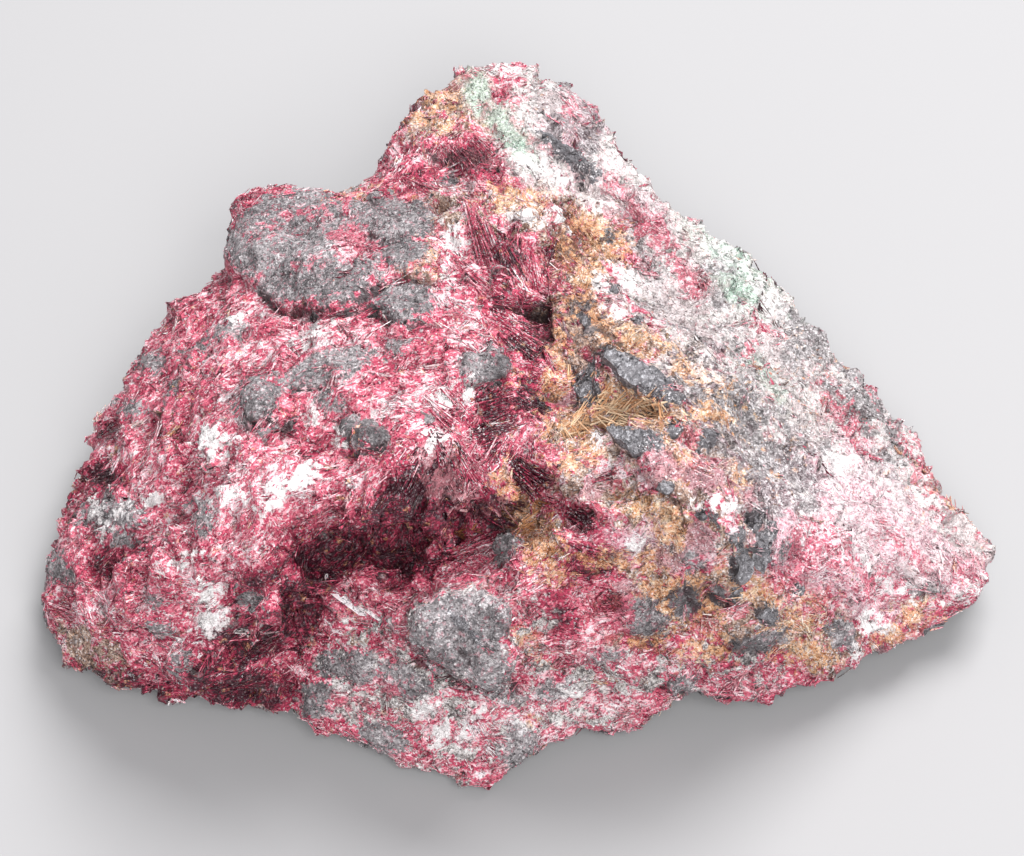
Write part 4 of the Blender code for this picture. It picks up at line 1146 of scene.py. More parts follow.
def patch_masks(tree, groups, fields):
    """How much of each mineral shows, with ragged edges to its patches."""
    masks = {}
    for name, (raggedness, edge, softness) in EDGES.items():
        values = {"Raggedness in mm": raggedness, "Noise": fields[edge], "Softness": softness}
        values["Depth"] = painted(tree, name)
        masks[name] = from_group(tree, groups["mask"], values)["Mask"]
    return masks


def tone_around(tree, fields, middle, parts):
    """A tone: the tint of a piece, moved as far as each field is from its own middle."""
    tone = maths(tree, "ADD", fields["tint"], middle)
    for name, share in parts.items():
        tone = maths(tree, "MULTIPLY_ADD", maths(tree, "SUBTRACT", fields[name], 0.5), share, tone)
    return tone


def mineral_colours(tree, fields):
    """The colour of each mineral alone."""
    flecks = tone_around(tree, fields, *FLECK_TONE)
    fields["pale_fleck"] = spread_over(tree, flecks, *PALE_FLECK)
    fields["dark_fleck"] = spread_over(tree, flecks, *DARK_FLECK)
    tones = {name: tone_around(tree, fields, *tone) for name, tone in TONES.items()}
    tones["green"] = maths(tree, "ADD", tones["flank"], GREEN_LIFT)
    return {name: ramp(tree, tone, STOPS[name]) for name, tone in tones.items()}


def rose_between_grains(tree, fields, colours):
    """Lets rose show in flecks and blots through the stony minerals, and brown through the front."""
    fleck = spread_over(tree, fields["spots"], *FLECKS)
    in_flank = maths(tree, "MAXIMUM", spread_over(tree, fields["blotch"], *FLANK_BLOTS), fleck)
    shares = {
        "flank": maths(tree, "MULTIPLY", in_flank, ROSE_IN_FLANK),
        "brown": spread_over(tree, fields["blotch"], *BROWN_BLOTS),
        "grey": maths(tree, "MULTIPLY", fleck, ROSE_IN_GREY),
        "front": spread_over(tree, fields["blotch"], *FRONT_BLOTS),
    }
    for name, share in shares.items():
        colours[name] = blended(tree, share, colours[name], colours["rose"])
    in_front = spread_over(tree, fields["fine_edge"], *FRONT_BROWN)
    in_front = maths(tree, "MULTIPLY", in_front, BROWN_IN_FRONT)
    colours["front"] = blended(tree, in_front, colours["front"], colours["brown"])


def layered(tree, colours, masks):
    """The minerals' colours laid over the rose stone, in the order of their layers."""
    colour = colours["rose"]
    white_share = maths(tree, "MULTIPLY_ADD", masks["flank"], -WHITE_LOST_IN_FLANK, 1.0)
    for name, share in {**LAYERS, "white": white_share}.items():
        colour = blended(tree, maths(tree, "MULTIPLY", masks[name], share), colour, colours[name])
    return colour


def less_in(tree, share, lost, masks):
    """A share that is lower in some minerals."""
    for name, loss in lost.items():
        share = maths(tree, "MULTIPLY_ADD", masks[name], -loss, share, clamp=True)
    return share


def specked(tree, colour, fields, masks):
    """The colour with painted shade in its fine gaps and cracks, and painted glints."""
    gap = maths(tree, "MULTIPLY", fields["gap"], less_in(tree, GAP_SHARE, GAPS_LOST, masks))
    glint = maths(tree, "MULTIPLY", fields["glint"], less_in(tree, GLINT_SHARE, GLINTS_LOST, masks))
    crack = maths(tree, "MULTIPLY", masks["crack"], CRACK_SHARE)
    for share, over in ((gap, DARK_GAP), (glint, LIGHT_GLINT), (crack, DARK_GAP)):
        colour = blended(tree, share, colour, over)
    return colour


def rock_roughness(tree, fields, masks):
    """Glossy blades and ore, and duller grey grains that glint here and there."""
    rough = maths(tree, "MULTIPLY_ADD", fields["speckle"], SPECKLE_ROUGH, LEAST_ROUGH)
    grey = maths(tree, "MULTIPLY_ADD", fields["grain_glint"], -GREY_GLOSS, GREY_ROUGH)
    rough = blended_value(tree, masks["grey"], rough, grey)
    return blended_value(tree, masks["ore"], rough, ORE_ROUGH)


def rock_material(groups):
    """The skin: fibrous rose stone, with every other mineral in patches over it."""
    material, tree, shader = new_material("rose_and_grey_rock")
    fields = rock_fields(tree, groups)
    masks = patch_masks(tree, groups, fields)
    # The shaded crimson mask darkens the tones below as painted shade
    fields.update(deep=masks["deep"], pale=masks["pale"])
    colours = mineral_colours(tree, fields)
    rose_between_grains(tree, fields, colours)
    # Painted shade in fine gaps and cracks, and painted glints, go over the layered minerals
    colour = specked(tree, layered(tree, colours, masks), fields, masks)
    tree.links.new(colour, shader.inputs["Base Color"])
    tree.links.new(rock_roughness(tree, fields, masks), shader.inputs["Roughness"])
    tree.links.new(maths(tree, "MULTIPLY", masks["ore"], METAL_IN_ORE), shader.inputs["Metallic"])
    height = maths(tree, "MULTIPLY_ADD", fields["speckle"], SPECKLE_RELIEF, fields["long_fibre"])
    bumped(tree, shader, height, **ROCK_RELIEF)
    return material


def ore_material(groups):
    """Metallic grey-black ore with a fine broken grain."""
    material, tree, shader = new_material("blue_black_ore")
    place = put(tree, "ShaderNodeTexCoord").outputs["Object"]
    fine = from_group(tree, groups["grains"], {"Place": place, **ORE_GRAIN})
    tree.links.new(ramp(tree, fine["Tone"], ORE_STOPS), shader.inputs["Base Color"])
    tree.links.new(spread_over(tree, fine["Tone"], 0.0, 1.0, 0.22, 0.55), shader.inputs["Roughness"])
    shader.inputs["Metallic"].default_value = METAL_OF_ORE
    bumped(tree, shader, fine["Height"], **ORE_RELIEF)
    return material


def straw_material(groups):
    """Glossy ochre blades with fine lines along them, each of its own tone."""
    material, tree, shader = new_material("straw")
    values = {"Own": painted(tree, "own", "Vector"), "Ripple": STRAW_RIPPLE}
    for name in ("Tint", "Deep", "Pale"):
        values[name] = painted(tree, name.lower())
    lines = from_group(tree, groups["blade"], values)
    tree.links.new(ramp(tree, lines["Tone"], OCHRE_STOPS), shader.inputs["Base Color"])
    tree.links.new(lines["Roughness"], shader.inputs["Roughness"])
    bumped(tree, shader, lines["Line"], **STRAW_RELIEF)
    return material


# The skin of the rock


def broken_facets_tree():
    """Geometry Nodes: pushes a mesh in and out by the tilts of broken facets at two sizes."""
    tree, given, leave = new_group(
        "broken_facets",
        "GeometryNodeTree",
        [
            ("Geometry", "NodeSocketGeometry", None),
            ("Large facets per m", "NodeSocketFloat", 200.0),
            ("Large tilt", "NodeSocketFloat", 0.60),
            ("Small facets per m", "NodeSocketFloat", 640.0),
            ("Small tilt", "NodeSocketFloat", 1.0),
            ("Grain depth", "NodeSocketFloat", 0.00025),
            ("Material", "NodeSocketMaterial", None),
        ],
        [("Geometry", "NodeSocketGeometry")],
    )
    place = put(tree, "GeometryNodeInputPosition").outputs[0]
    normal = put(tree, "GeometryNodeInputNormal").outputs[0]
    height = None
    for size, tilt in (("Large facets per m", "Large tilt"), ("Small facets per m", "Small tilt")):
        cells = put(tree, "ShaderNodeTexVoronoi", {"Vector": place, "Scale": given[size]})
        slope = arrows(tree, "SUBTRACT", cells.outputs["Color"], (0.5, 0.5, 0.5))
        local = arrows(tree, "SUBTRACT", place, cells.outputs["Position"])
        step = maths(tree, "MULTIPLY", dot(tree, local, slope), given[tilt])
        height = step if height is None else maths(tree, "ADD", height, step)
    calm_on_grey = spread_over(tree, written(tree, "grey"), *GREY_CALM)
    height = maths(tree, "MULTIPLY", height, calm_on_grey)
    grain = put(tree, "ShaderNodeTexNoise", {"Vector": place, **SKIN_GRAIN})
    grain_height = maths(tree, "SUBTRACT", grain.outputs["Fac"], 0.5)
    grain_height = maths(tree, "MULTIPLY", grain_height, given["Grain depth"])
    height = maths(tree, "MULTIPLY_ADD", grain_height, 2.0, height)
    for name, (low, high, rise) in RISES.items():
        height = maths(tree, "ADD", height, spread_over(tree, written(tree, name), low, high, 0.0, rise))
    height = maths(tree, "ADD", height, written(tree, "step"))
    up_there = put(tree, "ShaderNodeSeparateXYZ", {0: place}).outputs["Z"]
    height = maths(tree, "MULTIPLY", height, spread_over(tree, up_there, STILL_BELOW, MOVES_ABOVE))
    inputs = {"Geometry": given["Geometry"], "Offset": scaled(tree, normal, height)}
    moved = put(tree, "GeometryNodeSetPosition", inputs)
    made_real(tree, moved.outputs[0], given["Material"], leave)
    return tree


def made_real(tree, geometry, material, leave):
    """Ends a Geometry Nodes tree: real geometry in a material."""
    real = put(tree, "GeometryNodeRealizeInstances", {"Geometry": geometry})
    done = put(tree, "GeometryNodeSetMaterial", {"Geometry": real.outputs[0], "Material": material})
    tree.links.new(done.outputs[0], leave.inputs["Geometry"])


def shown(thing):
    """Puts an object in the scene."""
    bpy.context.scene.collection.objects.link(thing)
    return thing


def keep_modifiers(thing):
    """Makes what the modifiers show the object's own mesh."""
    bpy.context.view_layer.update()
    graph = bpy.context.evaluated_depsgraph_get()
    made = bpy.data.meshes.new_from_object(thing.evaluated_get(graph))
    thing.modifiers.clear()
    thing.data = made
    return thing


def run_nodes(thing, tree, values):
    """Runs a Geometry Nodes tree on the object with named inputs, and keeps the result as a mesh."""
    modifier = thing.modifiers.new(tree.name, "NODES")
    modifier.node_group = tree
    given = [item for item in tree.interface.items_tree if item.in_out == "INPUT"]
    sockets = {item.name: item.identifier for item in given}
    for name, value in values.items():
        modifier[sockets[name]] = value
    return keep_modifiers(thing)


def write_attribute(mesh, name, values, kind="FLOAT"):
    """Writes a value for every point of a mesh."""
    attribute = mesh.attributes.new(name, kind, "POINT")
    key = "vector" if kind == "FLOAT_VECTOR" else "value"
    attribute.data.foreach_set(key, np.asarray(values, np.float32).ravel())


def mesh_points(mesh):
    """The points of a mesh and the ways that it faces there."""
    count = len(mesh.vertices)
    points = np.empty(count * 3)
    facing = np.empty(count * 3)
    mesh.vertices.foreach_get("co", points)
    mesh.vertex_normals.foreach_get("vector", facing)
    return points.reshape(-1, 3), facing.reshape(-1, 3)


def write_minerals(mesh):
    """Writes every mineral's depth and the way of the grain on the mesh."""
    points, facing = mesh_points(mesh)
    for name, depth in mineral_fields(points, facing).items():
        write_attribute(mesh, name, depth)
    write_attribute(mesh, "way", grain_ways(points, facing), "FLOAT_VECTOR")
    write_attribute(mesh, "step", step_heights(points, facing))


def skin_of_the_rock(node, material):
    """The fine skin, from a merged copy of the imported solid."""
    shape = bmesh.new()
    shape.from_mesh(node.data)
    bmesh.ops.transform(shape, matrix=node.matrix_world, verts=shape.verts)
    bmesh.ops.remove_doubles(shape, verts=shape.verts, dist=1e-6)
    mesh = bpy.data.meshes.new("rock_skin")
    shape.to_mesh(mesh)
    shape.free()
    skin = shown(bpy.data.objects.new("rock_skin", mesh))
    cells = skin.modifiers.new("fine_cells", "REMESH")
    cells.mode = "VOXEL"
    cells.voxel_size = SKIN_CELL
    keep_modifiers(skin)
    write_minerals(skin.data)
    run_nodes(skin, broken_facets_tree(), {"Material": material})
    skin.data.shade_smooth()
    return skin


# Blades, grains and lumps laid on the skin


def laid_pieces_tree():
    """Geometry Nodes: one small shape on every point, turned, sized and made real."""
    tree, given, leave = new_group(
        "laid_pieces",
        "GeometryNodeTree",
        [
            ("Geometry", "NodeSocketGeometry", None),
            ("Piece", "NodeSocketObject", None),
            ("Size factor", "NodeSocketFloat", 1.0),
            ("Material", "NodeSocketMaterial", None),
        ],
        [("Geometry", "NodeSocketGeometry")],
    )
    way, face, size = (written(tree, name, "FLOAT_VECTOR") for name in ("way", "face", "size"))
    axes = {"Primary Axis": way, "Secondary Axis": face}
    turn = put(tree, "FunctionNodeAxesToRotation", axes, primary_axis="Z", secondary_axis="Y")
    piece = put(tree, "GeometryNodeObjectInfo", {"Object": given["Piece"]})
    inputs = {
        "Points": given["Geometry"],
        "Instance": piece.outputs["Geometry"],
        "Rotation": turn.outputs[0],
        "Scale": scaled(tree, size, given["Size factor"]),
    }
    laid = put(tree, "GeometryNodeInstanceOnPoints", inputs)
    made_real(tree, laid.outputs[0], given["Material"], leave)
    return tree


def small_shape(name, points, faces):
    """A closed shape of a few faces. Its own coordinates stay on it as an attribute."""
    mesh = bpy.data.meshes.new(name)
    mesh.from_pydata(points, [], faces)
    write_attribute(mesh, "own", points, "FLOAT_VECTOR")
    return bpy.data.objects.new(name, mesh)


def blade_shape():
    """A lath with a ridge along it, one unit long, wide and thick, narrower at the tip."""
    root = [(-0.5, 0.0, 0.0), (0.5, 0.0, 0.0), (0.1, 1.0, 0.0)]
    tip = [(-0.30, 0.0, 0.9), (0.22, 0.0, 1.0), (-0.05, 0.7, 0.96)]
    sides = [(0, 1, 4, 3), (1, 2, 5, 4), (2, 0, 3, 5)]
    return small_shape("blade", root + tip, sides + [(2, 1, 0), (3, 4, 5)])


def grain_shape():
    """A broken grain, about one unit across."""
    around = [(0.52, -0.08, 0.06), (0.10, 0.50, -0.14), (-0.46, 0.14, 0.10), (-0.12, -0.52, -0.06)]
    ends = [(0.06, 0.04, 0.48), (-0.10, -0.02, -0.46)]
    upper = [(0, 1, 4), (1, 2, 4), (2, 3, 4), (3, 0, 4)]
    lower = [(1, 0, 5), (2, 1, 5), (3, 2, 5), (0, 3, 5)]
    return small_shape("grain", around + ends, upper + lower)


def skin_tree(skin):
    """A search tree over the skin's faces."""
    shape = bmesh.new()
    shape.from_mesh(skin.data)
    found = BVHTree.FromBMesh(shape)
    shape.free()
    return found


def points_on_skin(skin, count, chance):
    """Random points spread evenly over the skin, with the way that it faces there."""
    mesh = skin.data
    mesh.calc_loop_triangles()
    corners = np.empty(len(mesh.loop_triangles) * 3, np.int32)
    mesh.loop_triangles.foreach_get("vertices", corners)
    points, facing = mesh_points(mesh)
    corners = points[corners.reshape(-1, 3)]
    across = np.cross(corners[:, 1] - corners[:, 0], corners[:, 2] - corners[:, 0])
    area = np.linalg.norm(across, axis=1)
    picked = chance.choice(len(area), count, p=area / area.sum())
    first, second = chance.rand(2, count, 1)
    over = first + second > 1
    first = np.where(over, 1 - first, first)
    second = np.where(over, 1 - second, second)
    origin = corners[picked, 0]
    found = origin + first * (corners[picked, 1] - origin) + second * (corners[picked, 2] - origin)
    normal = across[picked] / (area[picked][:, None] + 1e-20)
    standing = found[:, 2] > LOWEST_PIECE
    return found[standing], normal[standing]


def unit(vectors):
    """The vectors, each one unit long."""
    return vectors / (np.linalg.norm(vectors, axis=1)[:, None] + 1e-12)


def laid_on(name, piece, tree, material, rows):
    """One joined mesh with the piece laid at every row."""
    mesh = bpy.data.meshes.new(name)
    mesh.from_pydata(rows["place"], [], [])
    for key, values in rows.items():
        if key != "place":
            write_attribute(mesh, key, values, "FLOAT_VECTOR" if np.ndim(values) == 2 else "FLOAT")
    thing = shown(bpy.data.objects.new(name, mesh))
    run_nodes(thing, tree, {"Piece": piece, "Material": material})
    thing.data.shade_flat()
    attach(thing, "root")
    return thing


def only(rows, keep):
    """Some of the rows, picked by a mask or by their numbers."""
    return {key: values[keep] for key, values in rows.items()}


def laid_in_parts(name, piece, tree, material, rows):
    """Lays the rows in pieces that stay small enough to be edited, from left to right."""
    order = np.argsort(rows["place"][:, 0], kind="stable")
    parts = max(1, math.ceil(len(order) / MOST_IN_A_PIECE))
    for part, keep in enumerate(np.array_split(order, parts)):
        laid_on(f"{name}_{part + 1}", piece, tree, material, only(rows, keep))


def inside_the_box(rows, reach):
    """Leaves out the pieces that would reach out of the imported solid's box."""
    low, high = (np.array(corner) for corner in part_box("roselite_rock"))
    ends = rows["place"] + rows["way"] * reach[:, None]
    kept = np.all(ends > low - BOX_SLACK, axis=1) & np.all(ends < high + BOX_SLACK, axis=1)
    kept &= (ends[:, 2] > LOWEST_PIECE) & (rows["place"][:, 2] > LOWEST_PIECE)
    return only(rows, kept)


def inside(depth, soft=0.3):
    """The share of a mineral at this depth inside it, with a soft edge."""
    return smooth_step((depth + soft) / (2 * soft))


def stony_lumps(fields):
    """The share of ore, grey lumps and white patches."""
    share = np.maximum(inside(fields["grey"]), inside(fields["ore"]))
    return np.maximum(share, inside(fields["white"]))


def straw_chance(fields):
    """Ochre fibres stand thick in the straw patches, and thin elsewhere in the ochre."""
    least, more = STRAW_SHARE
    thick = least + more * inside(fields["straw"], STRAW_EDGE)
    return thick * inside(fields["ochre"]) * (1 - stony_lumps(fields))


def stony(fields):
    """The share of every mineral but the rose one."""
    share = inside(fields["white"], WHITE_EDGE)
    for name, bare in STONY.items():
        share = np.maximum(share, inside(fields[name]) * bare)
    share *= 1.0 - BLADES_ON_ROSE * inside(fields["rose"])
    share *= 1.0 - BLADES_ON_BLUSH * inside(fields["blush"])
    return np.maximum(share, inside(fields["grey"]) * BARE_GREY)


def rose_chance(fields):
    """Rose blades stand wherever no stony mineral is."""
    return 1.0 - stony(fields)


def turned(first, second, angle):
    """Vectors turned from one way towards another by an angle."""
    return np.cos(angle)[:, None] * first + np.sin(angle)[:, None] * second


def squared(vectors, way):
    """Unit vectors at right angles to a way, as near as can be to the ones given."""
    return unit(vectors - np.sum(vectors * way, axis=1)[:, None] * way)


def spray_roots(skin, style, likely, chance):
    """The middles of sprays: their places and ways, and what all the blades of a spray share."""
    place, facing = points_on_skin(skin, style["sprays"], chance)
    fields = mineral_fields(place, facing)
    wanted = likely(fields) > chance.rand(len(place))
    place, facing, fields = place[wanted], facing[wanted], only(fields, wanted)
    count = len(place)
    ways = grain_ways(place, facing)
    turn = chance.normal(0, style["stray"], count)
    turn += math.pi * (chance.rand(count) < 0.5)
    bold = unit(turned(ways, np.cross(facing, ways), turn))
    lift = chance.uniform(*style["lift"], count)
    apart = np.maximum(style["apart"], inside(fields["fibrous"], 1.0))
    shade = chance.normal(0, SPRAY_SHADES, count) * apart
    grown = chance.uniform(*SPRAY_GROWTH, count)
    roots = {
        "place": place, "facing": facing, "bold": bold, "beside": np.cross(facing, bold),
        "lift": lift, "apart": apart, "shade": shade, "grown": grown,
    }
    return roots, fields


def rest_on_skin(nearest, place, tips, highest):
    """Brings blades' tips down, until none stands higher than this above the skin."""
    for number, tip in enumerate(tips):
        near, normal = nearest.find_nearest(tip)[:2]
        height = min(max((Vector(tip) - near).dot(normal), 0.0), highest)
        tips[number] = near + normal * height
    return unit(tips - place), np.linalg.norm(tips - place, axis=1)


def sprays(skin, nearest, style, likely, chance):
    """Blades in sprays: their roots near each other, and their tips fanned along the skin."""
    roots, fields = spray_roots(skin, style, likely, chance)
    each = np.repeat(np.arange(len(roots["place"])), style["blades"])
    count = len(each)
    root = only(roots, each)
    fan = chance.uniform(-1, 1, count) * style["fan"]
    rise = np.clip(root["lift"] + chance.normal(0, BLADE_RISES, count), LEAST_RISE, MOST_RISE)
    way = unit(turned(turned(root["bold"], root["beside"], fan), root["facing"], rise))
    face = squared(root["facing"], way)
    face = turned(face, np.cross(way, face), chance.normal(0, BLADE_ROLLS, count))
    long = chance.uniform(*style["long"], count) * root["grown"]
    wide = chance.uniform(*style["wide"], count) * root["grown"]
    place = root["place"] + root["beside"] * chance.normal(0, style["root"], (count, 1))
    place += root["bold"] * chance.normal(0, ROOTS_ALONG * style["root"], (count, 1))
    for number, point in enumerate(place):
        place[number] = nearest.find_nearest(point)[0]
    place -= root["facing"] * style["sunk"]
    way, long = rest_on_skin(nearest, place, place + way * long[:, None], style["highest"])
    rows = {
        "place": place,
        "way": way,
        "face": squared(face, way),
        "size": np.stack([wide, wide * style["thick"], long], axis=1),
        "tint": root["shade"] + chance.normal(0, style["tints"], count) * root["apart"],
    }
    rows.update(only(fields, each))
    return inside_the_box(rows, long)


def seen_from_the_eye(nearest, x, y):
    """The place on the skin that shows at a pixel, and the way that it faces."""
    right, up = (x - PICTURE_CENTRE[0]) * PIXEL, (PICTURE_CENTRE[1] - y) * PIXEL
    aim = SHOW_CENTRE + ACROSS * right + UP * up
    eye = SHOW_CENTRE + TO_EYE * EYE_DISTANCE
    return nearest.ray_cast(eye, (aim - eye).normalized())[:2]


def broken_facets(shape, cell, depth):
    """Moves the corners of a shape in and out, by the tilts of broken facets."""
    shape.normal_update()
    moves = []
    for corner in shape.verts:
        place = corner.co / cell
        middle = noise.voronoi(place)[1][0]
        slope = noise.cell_vector(middle * FACET_SHIFT) * 2.0 - Vector((1.0, 1.0, 1.0))
        moves.append(corner.normal * (place - middle).dot(slope) * depth)
    for corner, move in zip(shape.verts, moves):
        corner.co += move


def broken_lump(length, width, thickness, chance):
    """An ellipsoid with flats broken off it."""
    shape = bmesh.new()
    bmesh.ops.create_icosphere(shape, subdivisions=LUMP_SMOOTHNESS, radius=1.0)
    for _ in range(LUMP_FLATS):
        way = Vector(chance.normal(0, 1, 3)).normalized()
        limit = chance.uniform(*LUMP_FLAT_REACH)
        for corner in shape.verts:
            beyond = corner.co.dot(way) - limit
            if beyond > 0:
                corner.co -= way * beyond
    bmesh.ops.scale(shape, vec=(length / 2, width / 2, thickness / 2), verts=shape.verts)
    return shape


def ragged(corners, chance):
    """More corners between these, each a little off the straight line."""
    found = []
    for (x0, y0), (x1, y1) in zip(corners, corners[1:] + corners[:1]):
        run_x, run_y = x1 - x0, y1 - y0
        length = math.hypot(run_x, run_y)
        parts = max(1, round(length / RAGGED_EDGE))
        for part in range(parts):
            share = part / parts
            off = chance.uniform(-RAGGED_SHARE, RAGGED_SHARE) * RAGGED_EDGE * (part > 0)
            x = x0 + run_x * share - run_y / length * off
            y = y0 + run_y * share + run_x / length * off
            found.append((x, y))
    return found


def broken_plate(corners, thickness, chance):
    """A flat piece with these corners and ragged edges, chamfered at the top."""
    shape = bmesh.new()
    corners = ragged(corners, chance)
    low = [shape.verts.new((x, y, -thickness * PLATE_ROOT)) for x, y in corners]
    high = []
    for x, y in corners:
        top = thickness * chance.uniform(*PLATE_TOP)
        high.append(shape.verts.new((x * TOP_LENGTH, y * TOP_WIDTH, top)))
    shape.faces.new(high)
    shape.faces.new(low[::-1])
    for here in range(len(corners)):
        after = (here + 1) % len(corners)
        shape.faces.new((low[here], low[after], high[after], high[here]))
    bmesh.ops.triangulate(shape, faces=shape.faces)
    for _ in range(3):
        long = [edge for edge in shape.edges if edge.calc_length() > LONGEST_PLATE_EDGE]
        bmesh.ops.subdivide_edges(shape, edges=long, cuts=1)
        bmesh.ops.triangulate(shape, faces=shape.faces)
    return shape


def stand_on_skin(nearest, x, y, turn, rise):
    """The turn and place of a lump that sits on the skin where a pixel shows."""
    place, facing = seen_from_the_eye(nearest, x, y)
    up = (facing + TO_EYE * 0.8).normalized()
    along = ACROSS * math.cos(turn) + UP * math.sin(turn)
    along = (along - up * along.dot(up)).normalized()
    matrix = Matrix((along, up.cross(along), up)).transposed().to_4x4()
    matrix.translation = place + up * rise
    return matrix


def set_in_skin(shape, nearest, x, y, turn, rise, facets):
    """Stands a lump or plate where a pixel shows, and breaks facets on it."""
    matrix = stand_on_skin(nearest, x, y, math.radians(turn), rise * PIXEL)
    bmesh.ops.transform(shape, matrix=matrix, verts=shape.verts)
    for cell, depth in facets:
        broken_facets(shape, cell, depth)
    return shape


def lumps(nearest, wanted, facets, chance):
    """Angular lumps set in the skin."""
    shapes = []
    for x, y, length, width, turn, thickness, rise in wanted:
        lump = broken_lump(length * PIXEL, width * PIXEL, thickness * PIXEL, chance)
        shapes.append(set_in_skin(lump, nearest, x, y, turn, rise, facets))
    return shapes


def joined(name, shapes, material):
    """One object from several shapes."""
    whole = bmesh.new()
    for shape in shapes:
        part = bpy.data.meshes.new("part")
        shape.to_mesh(part)
        shape.free()
        whole.from_mesh(part)
        bpy.data.meshes.remove(part)
    mesh = bpy.data.meshes.new(name)
    whole.to_mesh(mesh)
    whole.free()
    thing = shown(bpy.data.objects.new(name, mesh))
    mesh.materials.append(material)
    mesh.shade_flat()
    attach(thing, "root")
    return thing


def rock_lumps(nearest, material):
    """Angular lumps of the rock's own minerals, set in the skin."""
    chance = np.random.RandomState(SEED + 60)
    shapes = lumps(nearest, ROCK_LUMPS, ROCK_LUMP_FACETS, chance)
    write_minerals(joined("rock_lumps", shapes, material).data)


def ore_pieces(nearest, material):
    """Blue-black ore: broken plates and lumps that stand out of the skin."""
    chance = np.random.RandomState(SEED + 70)
    shapes = lumps(nearest, ORE_LUMPS, ORE_LUMP_FACETS, chance)
    for corners, thickness, rise in ORE_PLATES:
        middle_x = sum(x for x, _ in corners) / len(corners)
        middle_y = sum(y for _, y in corners) / len(corners)
        local = [((x - middle_x) * PIXEL, (middle_y - y) * PIXEL) for x, y in reversed(corners)]
        plate = broken_plate(local, thickness * PIXEL, chance)
        shapes.append(set_in_skin(plate, nearest, middle_x, middle_y, 0.0, rise, ORE_PLATE_FACETS))
    joined("ore_pieces", shapes, material)


def blade_ends(nearest, sheaf, style, chance):
    """The root and tip of one blade of a sheaf. One is missing where the skin isn't met."""
    x0, y0, x1, y1, breadth, blades, _ = sheaf
    many = blades > 1
    run = np.array([x1 - x0, y1 - y0], float)
    beside = np.array([-run[1], run[0]]) / np.hypot(*run)
    aside = chance.uniform(-0.5, 0.5) * breadth * many
    first = chance.uniform(*style["first"]) * many
    last = 1.0 - chance.uniform(0.0, SHEAF_END_LOSS) * many
    if style["length"]:
        last = first + chance.uniform(*style["length"])
    cross = style["cross"] * chance.normal(0.0, 1.0) * breadth * many
    ends = []
    for share, spread, slip in ((first, ROOT_SPREAD, 0.0), (last, TIP_SPREAD, cross)):
        x, y = (x0, y0) + run * share + beside * (aside * spread + slip)
        place, facing = seen_from_the_eye(nearest, x, y)
        if place is not None:
            ends.append(place + facing * chance.uniform(*SHEAF_RISE))
    return ends


def sheaves(nearest, wanted, style, chance):
    """The rows of the sheaves' blades. Loose ones are shorter and cross each other."""
    rows = {"place": [], "way": [], "face": [], "size": [], "tint": []}
    for sheaf in wanted:
        breadth, blades, tone = sheaf[4:]
        for _ in range(blades if blades == 1 else BLADES_PER_COUNT * blades):
            ends = blade_ends(nearest, sheaf, style, chance)
            if len(ends) < 2:
                continue
            way = ends[1] - ends[0]
            long = way.length
            way.normalize()
            wide = chance.uniform(*SHEAF_WIDE)
            if blades == 1:
                wide = breadth * PIXEL
            tint = tone + style["tone"] + chance.normal(SHEAF_TINT, style["tints"]) * (blades > 1)
            rows["place"].append(ends[0])
            rows["way"].append(way)
            rows["face"].append((TO_EYE - way * way.dot(TO_EYE)).normalized())
            rows["size"].append((wide, SHEAF_THICKNESS * wide, long))
            rows["tint"].append(tint)
    rows = {key: np.array(values) for key, values in rows.items()}
    count = len(rows["place"])
    rows.update(mineral_fields(rows["place"], np.tile(np.array(TO_EYE), (count, 1))))
    for name in NOT_ON_SHEAVES:
        rows[name] = np.full(count, -MOST_DEPTH)
    return rows


def lay_blades(skin, nearest, groups, tree, rock):
    """Every kind of blade."""
    blade = blade_shape()
    rows = sheaves(nearest, SHEAVES, ROSE_SHEAF, np.random.RandomState(SEED + 90))
    laid_on("rose_sheaves", blade, tree, rock, rows)
    rows = sheaves(nearest, STRAW_SHEAVES, STRAW_SHEAF, np.random.RandomState(SEED + 91))
    laid_on("straw_sheaves", blade, tree, straw_material(groups), rows)
    where = {"rose_fibres": rose_chance, "rose_plates": rose_chance, "ochre_fibres": straw_chance}
    for number, (name, style) in enumerate(SPRAYS.items()):
        rows = sprays(skin, nearest, style, where[name], np.random.RandomState(SEED + number))
        laid_in_parts(name, blade, tree, rock, rows)


def lay_grains(skin, tree, material):
    """Broken grains over the stony patches, coloured like the skin that they stand on."""
    chance = np.random.RandomState(SEED + 50)
    place, facing = points_on_skin(skin, GRAINS["grains"], chance)
    fields = mineral_fields(place, facing)
    likely = stony(fields) * (1 - inside(fields["ore"]))
    likely *= 1 - GRAINS["lost_on_grey"] * inside(fields["grey"])
    wanted = likely > chance.rand(len(place))
    place, facing, fields = place[wanted], facing[wanted], only(fields, wanted)
    count = len(place)
    across = chance.uniform(*GRAINS["across"], count)
    across *= np.where(chance.rand(count) < GRAINS["large_share"], GRAINS["large_factor"], 1.0)
    streaked = np.maximum(inside(fields["flank"]), inside(fields["brown"]))[:, None]
    way = unit(chance.normal(0, 1, (count, 3)) + GRAINS["outward"] * facing)
    along = way * GRAINS["streak_freedom"] + grain_ways(place, facing)
    way = unit(way * (1 - streaked) + along * streaked)
    face = unit(np.cross(way, unit(chance.normal(0, 1, (count, 3)))))
    size = across[:, None] * chance.uniform(*GRAINS["sides"], (count, 3))
    size *= 1.0 + streaked * np.array(GRAINS["streak_growth"])
    tint = chance.normal(0, GRAINS["tints"], count)
    rows = {"place": place, "way": way, "face": face, "size": size, "tint": tint, **fields}
    laid_in_parts("rock_grains", grain_shape(), tree, material, inside_the_box(rows, across))


# The stage


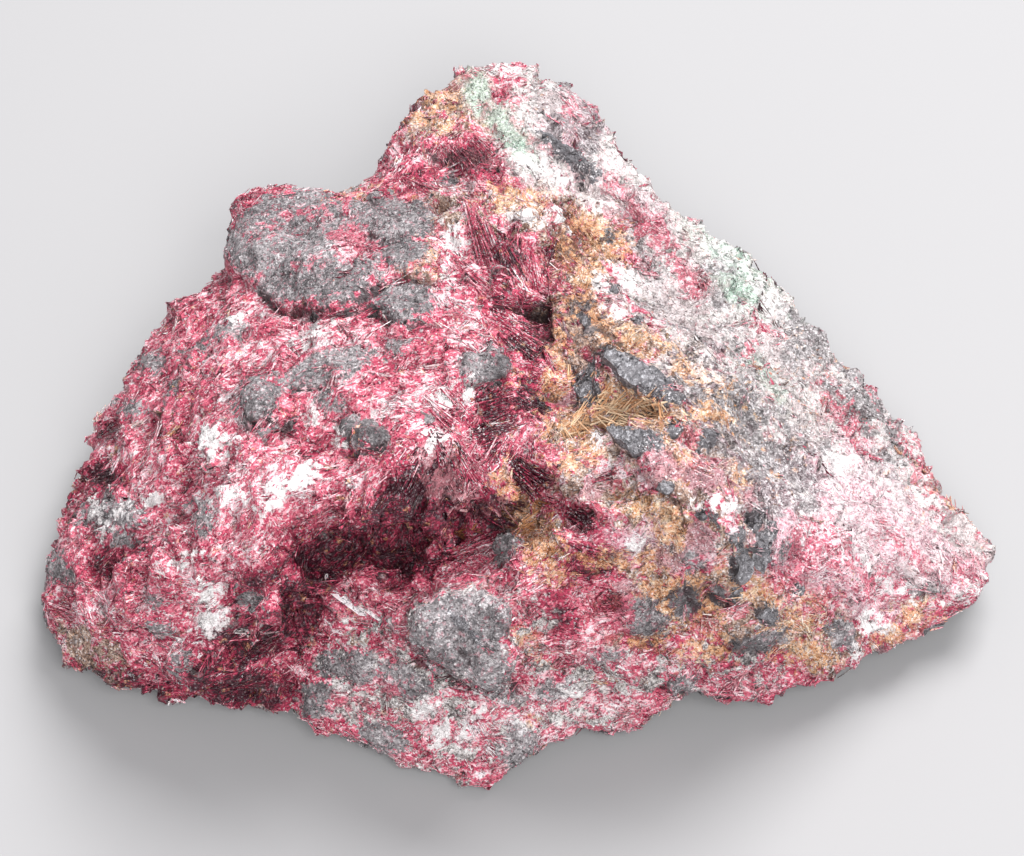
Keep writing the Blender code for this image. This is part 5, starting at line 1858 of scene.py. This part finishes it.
def pale_floor():
    """A plain pale floor that the rock lies on."""
    bpy.ops.mesh.primitive_plane_add(size=FLOOR_SIZE, location=(0, 0, 0))
    floor = bpy.context.object
    floor.name = "floor"
    material, _, shader = new_material("pale_floor")
    shader.inputs["Base Color"].default_value = FLOOR_COLOUR
    shader.inputs["Roughness"].default_value = FLOOR_ROUGHNESS
    floor.data.materials.append(material)


def soft_light(name, place, size, watts):
    """A square light that faces the rock."""
    light = bpy.data.lights.new(name, "AREA")
    light.size = size
    light.energy = watts
    lamp = shown(bpy.data.objects.new(name, light))
    lamp.location = place
    lamp.rotation_euler = (Vector(LIT_CENTRE) - lamp.location).to_track_quat("-Z", "Y").to_euler()


def studio():
    """A large soft light above and behind, a weak one in front, and a dim even sky."""
    pale_floor()
    for name, (place, size, watts) in LIGHTS.items():
        soft_light(name, place, size, watts)
    world = bpy.data.worlds.new("even_sky")
    world.use_nodes = True
    world.node_tree.nodes["Background"].inputs["Color"].default_value = SKY_COLOUR
    scene = bpy.context.scene
    scene.world = world
    scene.view_settings.view_transform = "Standard"
    scene.cycles.max_bounces = MOST_BOUNCES
    scene.cycles.diffuse_bounces = MOST_BOUNCES
    scene.cycles.glossy_bounces = MOST_BOUNCES


def photograph_camera():
    """The camera, at the photograph's eye."""
    lens = bpy.data.cameras.new("photograph_eye")
    lens.sensor_width = SENSOR_WIDTH
    lens.lens = PIXELS_PER_MM / MM * EYE_DISTANCE / PICTURE_WIDTH * SENSOR_WIDTH
    lens.clip_start = NEAREST_SHOWN
    eye = shown(bpy.data.objects.new("photograph_eye", lens))
    eye.location = SHOW_CENTRE + TO_EYE * EYE_DISTANCE
    eye.rotation_euler = (-TO_EYE).to_track_quat("-Z", "Y").to_euler()
    bpy.context.scene.camera = eye


def main():
    """Builds the rock's skin, what lies on it, the stage and the camera."""
    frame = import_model()
    groups = {
        "wander": wandering_place_group(),
        "tufts": fibre_tufts_group(),
        "mask": ragged_mask_group(),
        "grains": grains_group(),
        "blade": blade_tone_group(),
        "grit": grit_group(),
    }
    rock = rock_material(groups)
    skin = skin_of_the_rock(frame["nodes"]["roselite_rock"], rock)
    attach(skin, "root")
    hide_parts("roselite_rock")
    tree = laid_pieces_tree()
    nearest = skin_tree(skin)
    ore_pieces(nearest, ore_material(groups))
    rock_lumps(nearest, rock)
    lay_blades(skin, nearest, groups, tree, rock)
    lay_grains(skin, tree, rock)
    studio()
    photograph_camera()


main()
